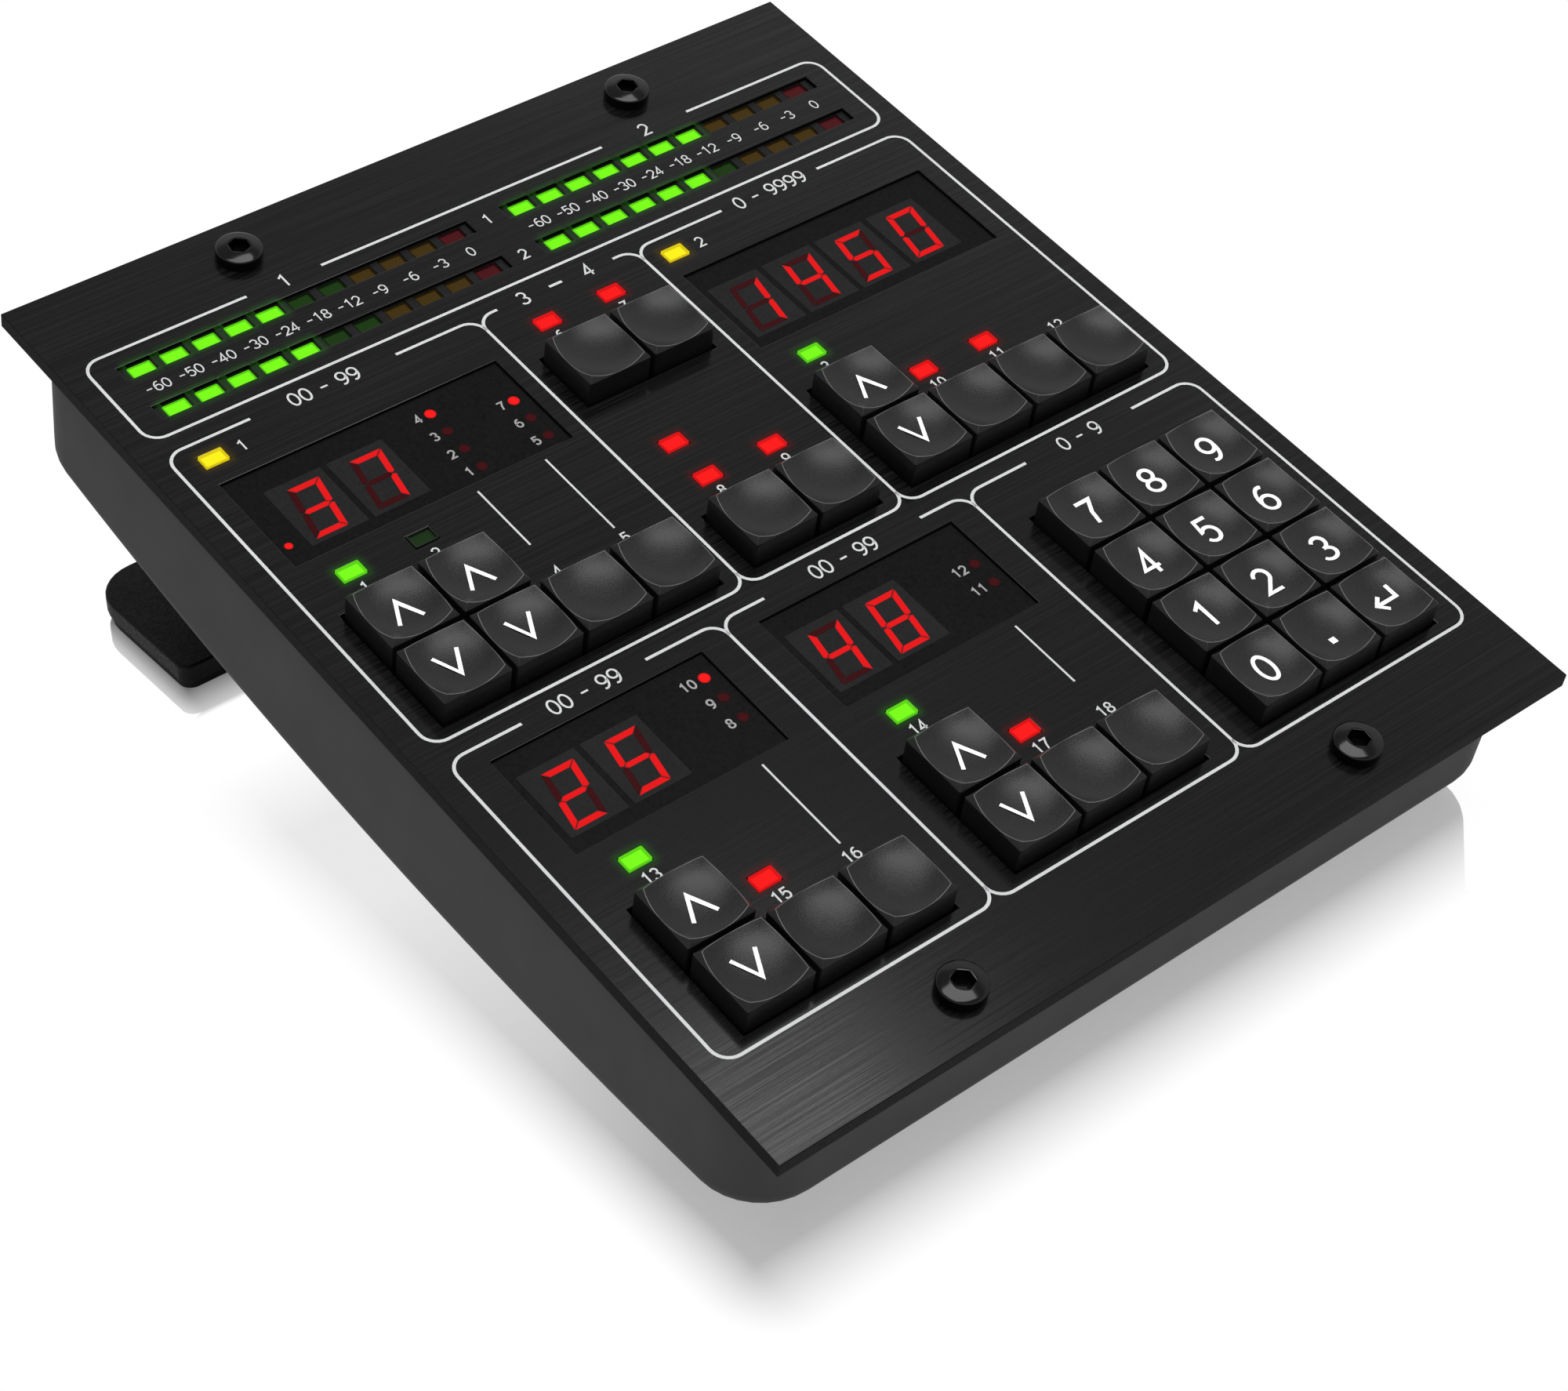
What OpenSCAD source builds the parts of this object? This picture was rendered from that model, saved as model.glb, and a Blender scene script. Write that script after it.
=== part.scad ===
// Desktop controller of a digital delay: a sloping metal panel with keys, level meters and
// number displays, on a shallow tray with a curved underside, a front foot and a rear stand.
// Millimetres. The table is z = 0, x runs to the right and y to the rear.

/* [Panel] */
// Width of the front panel
panel_w = 135; // [122:1:160]
// Length of the front panel along its slope
panel_d = 167; // [150:1:190]
// Thickness of the front panel
panel_t = 2.3; // [1.6:0.1:3]
// Slope of the panel, rear edge up, in degrees
tilt = 10.6; // [8:0.1:13]

/* [Tray] */
// How far the tray stands in from the panel's left and right edges
tray_inset_x = 1; // [0.5:0.1:2]
// How far the tray stands in from the panel's front and rear edges
tray_inset_y = 3.8; // [2:0.1:5]
// Depth of the tray's front and rear walls below the panel
tray_h = 18.7; // [17:0.1:24]
// How much deeper the curved underside is in the middle
tray_sag = 6.3; // [4:0.1:9]
// Radius of the tray's upright corners
tray_corner_r = 9.7; // [7:0.1:14]
// Radius of the tray's lower edges
tray_edge_r = 4.2; // [3:0.1:5]
// Wall of the tray
tray_wall = 2.2; // [1.6:0.1:2.4]
// Height of the tray's lower front edge above the table
front_lift = 3.2; // [3:0.1:6]

/* [Feet] */
// Thickness of the rubber pads
pad_t = 1.5; // [1:0.1:2]
// How far each rubber pad stands in from its foot
pad_inset = 0.4; // [0:0.1:2]
// Width of the front foot
front_foot_w = 116; // [100:1:124]
// Depth of the front foot
front_foot_d = 22; // [18:0.5:28]
// Distance from the panel's front edge back to the front foot
front_foot_setback = 14; // [9:0.2:18]
// Width of the rear stand's foot plate
stand_w = 122.4; // [112:0.2:128]
// Depth of the rear stand's foot plate
stand_d = 26; // [22:0.5:34]
// Thickness of the foot plate
stand_plate_t = 2.9; // [2:0.1:4]
// Distance from the panel's rear edge in to the foot plate
stand_setback = 0; // [0:0.1:3]
// Radius of the corners of the feet in plan
foot_corner_r = 3.5; // [2:0.5:8]
// Radius of the stand plate's front corners
stand_front_r = 2; // [1:0.5:6]
// Radius of the stand plate's rear corners
stand_rear_r = 7; // [3:0.5:9]
// Width of the stand's neck where it meets the tray
neck_w = 106; // [80:1:112]
// How far the neck's waist goes in on each side
waist_bow = 8; // [4:0.5:14]
// Distance from the foot plate's front edge to the neck
neck_front_margin = 1; // [0.5:0.1:4]
// Distance from the neck to the foot plate's rear edge
neck_rear_margin = 5; // [1:0.1:7]

/* [Keys] */
// Width of a key cap
key_w = 10.4; // [9.6:0.1:11]
// Space between neighbouring keys
key_space = 0.75; // [0.6:0.05:1]
// Height of a cap's upright sides above the panel
key_skirt_h = 3.6; // [3:0.1:5]
// How far a cap's upper edge leans in
key_lean = 1.1; // [0.9:0.1:1.4]
// Rise of the leaning edge
key_lean_h = 1.15; // [0.8:0.05:1.4]
// Radius of the finger dish
key_dish_r = 11; // [9:0.5:17]
// Depth of the dish below the top of the upright sides
key_dish_depth = 1.2; // [0.6:0.05:1.4]
// Wall of a key cap
key_wall = 1; // [0.7:0.1:1.3]
// Travel of a key
key_travel = 0.8; // [0.3:0.1:1]
// Radius of a key's stem
stem_r = 1.55; // [1.2:0.05:1.8]

/* [Layout] */
// Share of the upper sections' spare width at each side edge
upper_edge_share = 0.281; // [0.2:0.001:0.35]
// Share of the lower sections' spare width at each side edge
lower_edge_share = 0.2316; // [0.15:0.0001:0.3]
// Share of the spare length in front of the front row of keys
front_share = 0.3304; // [0.25:0.0001:0.4]
// Share of the spare length between the lower windows and the upper sections' keys
middle_share = 0.1612; // [0.13:0.0001:0.2]
// Share of the spare length between the upper sections and the meters
meter_share = 0.1672; // [0.13:0.0001:0.2]
// Distance from there back to the pair of keys in the upper middle section
pair_rise = 35.85; // [30:0.05:38]
// Distance between the two rows of meters
meter_row_gap = 8.65; // [6:0.05:10]
// Distance from the panel's side edge to a meter
meter_side_margin = 7.2; // [5:0.1:12]
// Space between the left and right meters
meter_space = 5.8; // [4:0.1:10]

/* [Displays] */
// Width of the upper display windows
wide_window_w = 44.4; // [40:0.1:45]
// Width of the lower display windows
narrow_window_w = 33.3; // [30:0.1:35]
// Height of a display window
window_h = 17.6; // [16:0.1:19]
// Depth of a window's face below the panel's face
window_recess = 0.4; // [0.2:0.1:0.8]
// Flange that holds a window behind the panel
window_flange = 1.2; // [0.8:0.1:1.3]
// Thickness of a window's flange
window_flange_t = 1; // [0.8:0.1:1.6]
// Space between neighbouring digits
digit_space = 0.6; // [0.3:0.1:1]
// Distance from a window's left edge to its first digit
digit_start = 5.7; // [5.2:0.1:6.2]
// Extra distance in front of the first digit of the modulation display
leading_point = 2.85; // [2:0.05:3.5]
// Width of a digit block
digit_w = 9.2; // [8:0.1:10]
// Height of a digit block
digit_h = 13; // [11:0.5:14]
// Distance between the round lamps in a window
lamp_pitch = 3.93; // [3.5:0.01:4.2]
// Radius of a round lamp
lamp_r = 0.8; // [0.6:0.1:1]

/* [Lights] */
// Width of an indicator light
indicator_w = 3.8; // [3:0.1:4.4]
// Height of an indicator light
indicator_h = 2.6; // [2:0.1:2.8]
// Height of an indicator above the panel's face
indicator_rise = 0.2; // [0.1:0.05:0.6]
// Distance from an indicator's centre to the window next to it
indicator_window_gap = 4.5; // [4:0.1:5]
// Length of a meter light
meter_light_l = 3.6; // [2.4:0.1:4.2]
// Width of a meter light
meter_light_w = 2.2; // [1.6:0.1:3]
// Edge of a meter's bar beside its lights
meter_side = 0.2; // [0.2:0.05:0.6]
// Edge of a meter's bar beyond its last light
meter_end = 1.25; // [0.6:0.05:2]
// Depth of a meter below the panel's face
meter_recess = 0.5; // [0.3:0.1:0.9]
// Depth of a meter light in its bar
meter_light_t = 1.2; // [0.8:0.1:1.6]
// Green lights in each meter
meter_greens = 7; // [4:1:8]
// Amber lights in each meter
meter_ambers = 3; // [1:1:3]

/* [Inside] */
// Space between the panel and the circuit board
standoff_h = 6.7; // [6.2:0.1:8]
// Radius of a standoff
standoff_r = 2.5; // [2:0.1:2.6]
// Thickness of the circuit board
board_t = 1.6; // [1:0.1:2]
// Gap between the circuit board and the tray's side walls
board_gap = 1.5; // [1:0.1:3]
// Width of a switch body
switch_w = 6.2; // [5.8:0.1:7]
// Height of a switch body
switch_h = 4.4; // [4:0.1:5]
// Depth of a key's stem in its switch
stem_depth = 1.6; // [1.2:0.1:2]

/* [Fasteners] */
// Distance of the panel screws from the middle
panel_screw_x = 34; // [20:0.5:46]
// Distance of the panel screws from the panel's front and rear edges
panel_screw_edge = 6.9; // [6.2:0.1:9]
// Radius of a panel screw's shank
panel_screw_r = 1.9; // [1.2:0.1:2.2]
// Length of a panel screw's shank
panel_screw_l = 10; // [6:0.5:12]
// Radius of a panel screw's head
panel_head_r = 3.3; // [2.8:0.1:3.6]
// Height of a panel screw's head
panel_head_h = 2; // [1.8:0.1:2.6]
// Width of a panel screw's hexagon socket
hex_w = 2.7; // [2:0.1:3]
// Depth of the hexagon socket in a panel screw
hex_depth = 1.4; // [1:0.1:1.6]
// Wall of the screw bosses in the tray
boss_wall = 1; // [0.8:0.1:2]
// Radius of a board screw's shank
board_screw_r = 1.2; // [1:0.05:1.3]
// Distance of the stand screws from the middle
stand_screw_x = 30; // [20:0.5:36]
// Length of a stand screw's shank
stand_screw_l = 13; // [10:0.5:15]

/* [Data socket] */
// Width of the data socket
socket_w = 8.9; // [8:0.1:10]
// Height of the data socket
socket_h = 3.2; // [3:0.1:4]
// Length of the data socket
socket_l = 12; // [11:0.5:14]
// Wall of the data socket's metal shell
socket_wall = 0.4; // [0.3:0.05:0.5]

/* [Hidden] */
$fn = 48;
// Clearances: a loose fit, a sliding fit in a bore, and the curved seat of a foot
fit_gap = 0.1;
slide_gap = 0.25;
seat_gap = 0.05;
// Small overlap that joins or cuts cleanly
over = 0.5;

// Tray: half sizes, inner sizes and the circle of the underside
tray_half_w = panel_w / 2 - tray_inset_x;
tray_half_d = panel_d / 2 - tray_inset_y;
cavity_half_w = tray_half_w - tray_wall;
cavity_half_d = tray_half_d - tray_wall;
belly_r = (pow(tray_half_d, 2) + pow(tray_sag, 2)) / (2 * tray_sag);
belly_axis_z = belly_r - panel_t - tray_h - tray_sag;
far = panel_w + panel_d;

// Height of the panel's centre, and the offset that centres the whole in y
panel_z = front_lift + tray_half_d * sin(tilt) + (panel_t + tray_h) * cos(tilt);
panel_y = -panel_t / 2 * sin(tilt);
panel_reach = panel_d / 2 * cos(tilt);

// Height of the tray's inner floor, and the panel's y of a point at a given y on the table
function cavity_floor(y) = belly_axis_z - sqrt(pow(belly_r - tray_wall, 2) - pow(y, 2));
function along_panel(y, z) = (y - panel_y + z * sin(tilt)) / cos(tilt);

// Feet and stand, on the table
front_foot_y = -panel_reach + front_foot_setback + front_foot_d / 2;
stand_y = panel_reach - stand_setback - stand_d / 2;
neck_front = stand_y - stand_d / 2 + neck_front_margin;
neck_d = stand_d - neck_front_margin - neck_rear_margin;
neck_waist_w = neck_w - 2 * waist_bow;
neck_base_z = pad_t + stand_plate_t;
neck_top_z = panel_z + along_panel(neck_front, -panel_t - tray_h - tray_sag / 2) * sin(tilt)
    - (panel_t + tray_h + tray_sag / 2) * cos(tilt);
waist_rise = (neck_top_z - neck_base_z) / 2;
waist_r = (pow(waist_rise, 2) + pow(waist_bow, 2)) / (2 * waist_bow);

// Stand screws: rows along the panel, and their seat above the tray's floor
stand_screw_rows = [for (part = [0.3, 0.8]) along_panel(neck_front + part * neck_d, -panel_t - tray_h)];
stand_boss_r = 4;
stand_screw_r = 1.5;
stand_head_r = 2.8;
stand_head_h = 2;
stand_seat_z = cavity_floor(stand_screw_rows[1] + stand_boss_r) + 0.2;

// Panel screws and their bosses
panel_screw_hole_r = panel_screw_r + fit_gap;
boss_r = panel_screw_hole_r + boss_wall;
boss_l = panel_screw_l + 2;

// Circuit board
board_top_z = -panel_t - standoff_h;
board_half_w = cavity_half_w - board_gap;
board_half_d = panel_d / 2 - panel_screw_edge - boss_r - 1.6;
board_head_r = 2.4;
board_head_h = 1.6;
board_screw_l = board_t + 5;

// Keys: spacing, opening, stem and switch bore; neighbouring openings run into each other
key_pitch = key_w + key_space;
key_bottom_z = -panel_t - 0.6;
key_dish_z = key_skirt_h - key_dish_depth;
key_roof_z = key_dish_z - 1.3;
key_opening = key_pitch + fit_gap;
switch_top_z = board_top_z + switch_h;
switch_bore_r = stem_r + slide_gap;
switch_bore_z = switch_top_z - stem_depth - key_travel - 4 * fit_gap;

// Sections of the panel: their sizes, and the spare width and length shared out around them
upper_section_w = max(wide_window_w, 4 * key_pitch);
lower_section_w = max(narrow_window_w, 3 * key_pitch);
lower_section_d = key_w / 2 + 2 * key_pitch + indicator_window_gap + window_h;
upper_section_d = lower_section_d + indicator_window_gap + indicator_h / 2;
meter_slot_w = meter_light_w + 2 * meter_side + 2 * fit_gap;
meter_section_d = meter_row_gap + meter_slot_w;
upper_spare_w = panel_w - 2 * upper_section_w - 2 * key_pitch;
lower_spare_w = panel_w - 3 * lower_section_w;
spare_d = panel_d - lower_section_d - upper_section_d - meter_section_d;
upper_section_x = panel_w / 2 - upper_edge_share * upper_spare_w - upper_section_w / 2;
lower_section_x = panel_w / 2 - lower_edge_share * lower_spare_w - lower_section_w / 2;
lower_key_y = -panel_d / 2 + front_share * spare_d + key_w / 2;
upper_key_y = lower_key_y + lower_section_d + middle_share * spare_d;
pair_key_y = upper_key_y + pair_rise;
meter_front_y = upper_key_y + upper_section_d - key_w / 2 + meter_share * spare_d + meter_slot_w / 2;

// Columns and rows that the keys and the lights above them share
left_columns = [for (i = [-1.5 : 1 : 1.5]) -upper_section_x + i * key_pitch];
right_columns = [for (i = [-1.5 : 1 : 1.5]) upper_section_x + i * key_pitch];
pair_columns = [-key_pitch / 2, key_pitch / 2];
feedback_columns = [for (i = [-1 : 1]) -lower_section_x + i * key_pitch];
preset_columns = [for (i = [-1 : 1]) i * key_pitch];
pad_columns = [for (i = [-1 : 1]) lower_section_x + i * key_pitch];
pad_rows = [for (i = [0 : 3]) lower_key_y + i * key_pitch];
upper_light_y = upper_key_y + key_pitch;
upper_lamp_y = upper_key_y + 2 * key_pitch;
lower_light_y = lower_key_y + key_pitch;
lower_lamp_y = lower_key_y + 2 * key_pitch;

key_places = [
    ["speed_up_key", left_columns[0], upper_light_y],
    ["depth_up_key", left_columns[1], upper_light_y],
    ["speed_down_key", left_columns[0], upper_key_y],
    ["depth_down_key", left_columns[1], upper_key_y],
    ["waveform_key", left_columns[2], upper_key_y],
    ["modulation_select_key", left_columns[3], upper_key_y],
    ["pan_key", pair_columns[0], pair_key_y],
    ["dynamics_key", pair_columns[1], pair_key_y],
    ["direct_key", pair_columns[0], upper_key_y],
    ["reverse_key", pair_columns[1], upper_key_y],
    ["time_up_key", right_columns[0], upper_light_y],
    ["time_down_key", right_columns[0], upper_key_y],
    ["time_modulation_key", right_columns[1], upper_key_y],
    ["sync_key", right_columns[2], upper_key_y],
    ["learn_key", right_columns[3], upper_key_y],
    ["feedback_up_key", feedback_columns[0], lower_light_y],
    ["feedback_down_key", feedback_columns[0], lower_key_y],
    ["invert_key", feedback_columns[1], lower_key_y],
    ["feedback_select_key", feedback_columns[2], lower_key_y],
    ["preset_up_key", preset_columns[0], lower_light_y],
    ["preset_down_key", preset_columns[0], lower_key_y],
    ["delay_on_key", preset_columns[1], lower_key_y],
    ["special_key", preset_columns[2], lower_key_y],
    ["key_7", pad_columns[0], pad_rows[3]],
    ["key_8", pad_columns[1], pad_rows[3]],
    ["key_9", pad_columns[2], pad_rows[3]],
    ["key_4", pad_columns[0], pad_rows[2]],
    ["key_5", pad_columns[1], pad_rows[2]],
    ["key_6", pad_columns[2], pad_rows[2]],
    ["key_1", pad_columns[0], pad_rows[1]],
    ["key_2", pad_columns[1], pad_rows[1]],
    ["key_3", pad_columns[2], pad_rows[1]],
    ["key_0", pad_columns[0], pad_rows[0]],
    ["point_key", pad_columns[1], pad_rows[0]],
    ["enter_key", pad_columns[2], pad_rows[0]],
];

// Windows: name, x, y and width
upper_window_y = upper_lamp_y + indicator_window_gap + window_h / 2;
lower_window_y = lower_lamp_y + indicator_window_gap + window_h / 2;
modulation_pane = [-upper_section_x, upper_window_y, wide_window_w];
delay_pane = [upper_section_x, upper_window_y, wide_window_w];
feedback_pane = [-lower_section_x, lower_window_y, narrow_window_w];
preset_pane = [0, lower_window_y, narrow_window_w];
panes = [modulation_pane, delay_pane, feedback_pane, preset_pane];
pane_back_z = -panel_t - window_flange_t;

// Digit blocks, a little below the middle of their window
digit_drop = 1.4;
digit_pitch = digit_w + digit_space;
function pane_left(pane) = pane[0] - pane[2] / 2;
function digits_in(pane, count, lead) = [for (i = [0 : count - 1])
    [pane_left(pane) + lead + digit_start + i * digit_pitch, pane[1] - digit_drop]];
digit_places = concat(digits_in(modulation_pane, 2, leading_point), digits_in(delay_pane, 4, 0),
    digits_in(feedback_pane, 2, 0), digits_in(preset_pane, 2, 0));

// Round lamps: columns counted in from a window's right edge, rows up from its lower edge
lamp_edge_x = 2.3;
lamp_column_gap = 11;
lamp_first_row = 2.3;
function lamps_in(pane, inset, first, last) = [for (i = [first : last])
    [pane[0] + pane[2] / 2 - inset, pane[1] - window_h / 2 + lamp_first_row + i * lamp_pitch]];
lamp_places = concat(lamps_in(modulation_pane, lamp_edge_x + lamp_column_gap, 0, 3),
    lamps_in(modulation_pane, lamp_edge_x, 0, 2), lamps_in(feedback_pane, lamp_edge_x, 1, 3),
    lamps_in(preset_pane, lamp_edge_x, 1, 2));

// Indicators by colour
yellow_places = [for (pane = [modulation_pane, delay_pane])
    [pane_left(pane) + 2.1, pane[1] + window_h / 2 + indicator_window_gap]];
green_places = [[left_columns[0], upper_lamp_y], [left_columns[1], upper_lamp_y],
    [right_columns[0], upper_lamp_y], [feedback_columns[0], lower_lamp_y], [preset_columns[0], lower_lamp_y]];
red_places = [[pair_columns[0], pair_key_y + key_pitch], [pair_columns[1], pair_key_y + key_pitch],
    [pair_columns[0], upper_light_y + 2 / 3 * key_pitch], [pair_columns[0], upper_light_y], [pair_columns[1], upper_light_y],
    [right_columns[1], upper_light_y], [right_columns[2], upper_light_y],
    [feedback_columns[1], lower_light_y], [preset_columns[1], lower_light_y]];
indicator_places = concat(yellow_places, green_places, red_places);

// Meters: each has its greens, then its ambers, then one red
meter_slot_l = panel_w / 2 - meter_side_margin - meter_space / 2;
meter_x = (meter_slot_l + meter_space) / 2;
meter_places = [for (x = [-meter_x, meter_x], row = [0, 1]) [x, meter_front_y + row * meter_row_gap]];
meter_count = meter_greens + meter_ambers + 1;
meter_pitch = (meter_slot_l - 2 * fit_gap - 2 * meter_end - meter_light_l) / (meter_count - 1);
function meter_light_x(i) = (i - (meter_count - 1) / 2) * meter_pitch;

// Fasteners
panel_screws_at = [for (x = [-1, 1], y = [-1, 1])
    [x * panel_screw_x, y * (panel_d / 2 - panel_screw_edge)]];
standoffs_at = [for (side = [-1, 1], at = [
    [upper_section_x, (upper_window_y + (window_h - meter_slot_w) / 2 + meter_front_y) / 2],
    [(upper_section_x - key_pitch) / 2, upper_lamp_y],
    [lower_section_x / 2, (lower_light_y + lower_lamp_y) / 2],
    [lower_section_x / 2, lower_key_y]]) [side * at[0], at[1]]];

socket_z = board_top_z - board_t - socket_h / 2;

// Places its children in the sloping frame of the panel: z = 0 is the panel's face
module on_panel() {
    translate([0, panel_y, panel_z])
        rotate([tilt, 0, 0])
            children();
}

// Copies its children to a list of x, y places
module at_each(places) {
    for (place = places)
        translate([place[0], place[1], 0])
            children();
}

// Block on x, y between two heights
module block(w, d, low, high) {
    translate([-w / 2, -d / 2, low])
        cube([w, d, high - low]);
}

// Round bar between two heights
module bar(r, low, high) {
    translate([0, 0, low])
        cylinder(r = r, h = high - low);
}

module rounded_rectangle(w, d, r) {
    square([w - 2 * r, d], center = true);
    square([w, d - 2 * r], center = true);
    for (x = [-1, 1], y = [-1, 1])
        translate([x * (w / 2 - r), y * (d / 2 - r)])
            circle(r);
}

// Round bar along x that the tray's underside follows
module belly(r, sides = 1440) {
    translate([0, 0, belly_axis_z])
        rotate([0, 90, 0])
            cylinder(r = r, h = far, center = true, $fn = sides);
}

// Upright block with rounded corners, rounded down to the belly's circle
module tray_block(half_w, half_d, corner_r, r, top, sides = 1440) {
    intersection() {
        translate([0, 0, -far])
            linear_extrude(height = far + top)
                rounded_rectangle(2 * half_w, 2 * half_d, corner_r);
        belly(r, sides);
    }
}

module tray_outside() {
    difference() {
        minkowski() {
            tray_block(tray_half_w - tray_edge_r, tray_half_d - tray_edge_r,
                tray_corner_r - tray_edge_r, belly_r - tray_edge_r, tray_edge_r, 360);
            sphere(tray_edge_r, $fn = 24);
        }
        block(far, far, -panel_t, far);
    }
}

module tray_inside() {
    tray_block(cavity_half_w, cavity_half_d, tray_corner_r - tray_wall, belly_r - tray_wall, over);
}

// Outline with one radius at its front corners and another at its rear corners
module foot_outline(w, d, front_r, rear_r) {
    translate([0, (front_r - rear_r) / 2])
        square([w, d - front_r - rear_r], center = true);
    translate([0, -d / 4])
        square([w - 2 * front_r, d / 2], center = true);
    translate([0, d / 4])
        square([w - 2 * rear_r, d / 2], center = true);
    for (x = [-1, 1]) {
        translate([x * (w / 2 - front_r), front_r - d / 2])
            circle(front_r);
        translate([x * (w / 2 - rear_r), d / 2 - rear_r])
            circle(rear_r);
    }
}

module foot_slab(w, d, y, low, high, front_r, rear_r) {
    translate([0, y, low])
        linear_extrude(height = high - low)
            foot_outline(w, d, front_r, rear_r);
}

module front_panel() {
    color("#1b1b1c")
        on_panel()
            difference() {
                block(panel_w, panel_d, -panel_t, 0);
                for (place = key_places)
                    translate([place[1], place[2], 0])
                        block(key_opening, key_opening, -panel_t - over, over);
                for (pane = panes)
                    translate([pane[0], pane[1], 0])
                        block(pane[2], window_h, -panel_t - over, over);
                at_each(indicator_places)
                    block(indicator_w, indicator_h, -panel_t - over, over);
                at_each(meter_places)
                    block(meter_slot_l, meter_slot_w, -panel_t - over, over);
                at_each(panel_screws_at)
                    bar(panel_screw_hole_r, -panel_t - over, over);
            }
}

module body_shell() {
    color("#3b3c3d")
        difference() {
            union() {
                difference() {
                    union() {
                        on_panel()
                            tray_outside();
                        intersection() {
                            foot_slab(front_foot_w, front_foot_d, front_foot_y, pad_t, panel_z,
                                foot_corner_r, foot_corner_r);
                            on_panel()
                                belly_shell();
                        }
                    }
                    on_panel()
                        tray_inside();
                }
                on_panel() {
                    intersection() {
                        at_each(panel_screws_at)
                            bar(boss_r, -panel_t - boss_l, -panel_t);
                        block(2 * tray_half_w - fit_gap, 2 * tray_half_d - fit_gap, -far, 0);
                    }
                    for (x = [-stand_screw_x, stand_screw_x], y = stand_screw_rows)
                        translate([x, y, 0])
                            bar(stand_boss_r, cavity_floor(y) - tray_wall / 2, stand_seat_z);
                }
            }
            on_panel() {
                at_each(panel_screws_at)
                    bar(panel_screw_hole_r, -panel_t - panel_screw_l, over - panel_t);
                for (x = [-stand_screw_x, stand_screw_x], y = stand_screw_rows)
                    translate([x, y, 0])
                        bar(stand_screw_r + fit_gap, -far, stand_seat_z + over);
                translate([0, tray_half_d, socket_z])
                    cube([socket_w + 4 * fit_gap, 4 * tray_wall, socket_h + 4 * fit_gap], center = true);
            }
        }
}

// Everything below the tray's inner floor, which the front foot is cut to
module belly_shell() {
    difference() {
        block(far, far, -far, -panel_t - tray_h);
        belly(belly_r - tray_wall / 2);
    }
}

module main_board() {
    color("#1d4a2c")
        on_panel()
            difference() {
                union() {
                    block(2 * board_half_w, 2 * board_half_d, board_top_z - board_t, board_top_z);
                    translate([0, 0, board_top_z - board_t])
                        board_parts();
                }
                at_each(standoffs_at)
                    bar(board_screw_r + fit_gap, board_top_z - board_t - over, board_top_z + over);
            }
}

// Chips and capacitors soldered under the board, at parts of its half width and half length
module board_parts() {
    chip_t = 1.4;
    for (chip = [[0, -0.11, 16, 16], [-0.56, -0.08, 10, 18], [0.56, -0.08, 10, 18], [0, 0.47, 12, 8],
            [-0.46, 0.67, 9, 6], [0.46, 0.67, 9, 6]])
        translate([chip[0] * board_half_w, chip[1] * board_half_d, 0])
            block(chip[2], chip[3], -chip_t, over);
    for (part = [-0.4, -0.27, 0.27, 0.4])
        translate([part * board_half_w, 0.81 * board_half_d, 0])
            bar(2.5, -5.5, over);
}

module switch_bodies() {
    color("#2a2a2c")
        on_panel()
            for (place = key_places)
                translate([place[1], place[2], 0])
                    difference() {
                        block(switch_w, switch_w, board_top_z, switch_top_z);
                        bar(switch_bore_r, switch_bore_z, switch_top_z + over);
                    }
}

// Lights of one colour in every meter
module meter_lights(first, last, inset = 0) {
    at_each(meter_places)
        for (i = [first : last])
            translate([meter_light_x(i), 0, 0])
                block(meter_light_l + 2 * inset, meter_light_w + 2 * inset,
                    -meter_recess - meter_light_t, -meter_recess + inset);
}

module meter_bars() {
    color("#0c0c0c")
        on_panel()
            difference() {
                at_each(meter_places)
                    block(meter_slot_l - 2 * fit_gap, meter_slot_w - 2 * fit_gap, board_top_z, -meter_recess);
                meter_lights(0, meter_count - 1, fit_gap);
            }
}

module meter_green_lights() {
    color("#5ce51a")
        on_panel()
            meter_lights(0, meter_greens - 1);
}

module meter_amber_lights() {
    color("#4a3508")
        on_panel()
            meter_lights(meter_greens, meter_greens + meter_ambers - 1);
}

module meter_red_lights() {
    color("#4a0d0d")
        on_panel()
            meter_lights(meter_count - 1, meter_count - 1);
}

// Smoked pane with a flange behind the panel
module window(pane) {
    color("#0a0a0b")
        on_panel()
            translate([pane[0], pane[1], 0]) {
                block(pane[2] - 2 * fit_gap, window_h - 2 * fit_gap, pane_back_z, -window_recess);
                block(pane[2] + 2 * window_flange, window_h + 2 * window_flange, pane_back_z, -panel_t);
            }
}

module digit_blocks() {
    color("#202022")
        on_panel()
            at_each(digit_places)
                block(digit_w, digit_h, board_top_z, pane_back_z - fit_gap);
}

module window_lamps() {
    color("#b01414")
        on_panel()
            at_each(lamp_places)
                bar(lamp_r, board_top_z, pane_back_z - fit_gap);
}

module indicators(places) {
    on_panel()
        at_each(places)
            block(indicator_w - 2 * fit_gap, indicator_h - 2 * fit_gap, board_top_z, indicator_rise);
}

module green_indicators() {
    color("#55e012")
        indicators(green_places);
}

module red_indicators() {
    color("#f01818")
        indicators(red_places);
}

module yellow_indicators() {
    color("#f2d511")
        indicators(yellow_places);
}

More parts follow.
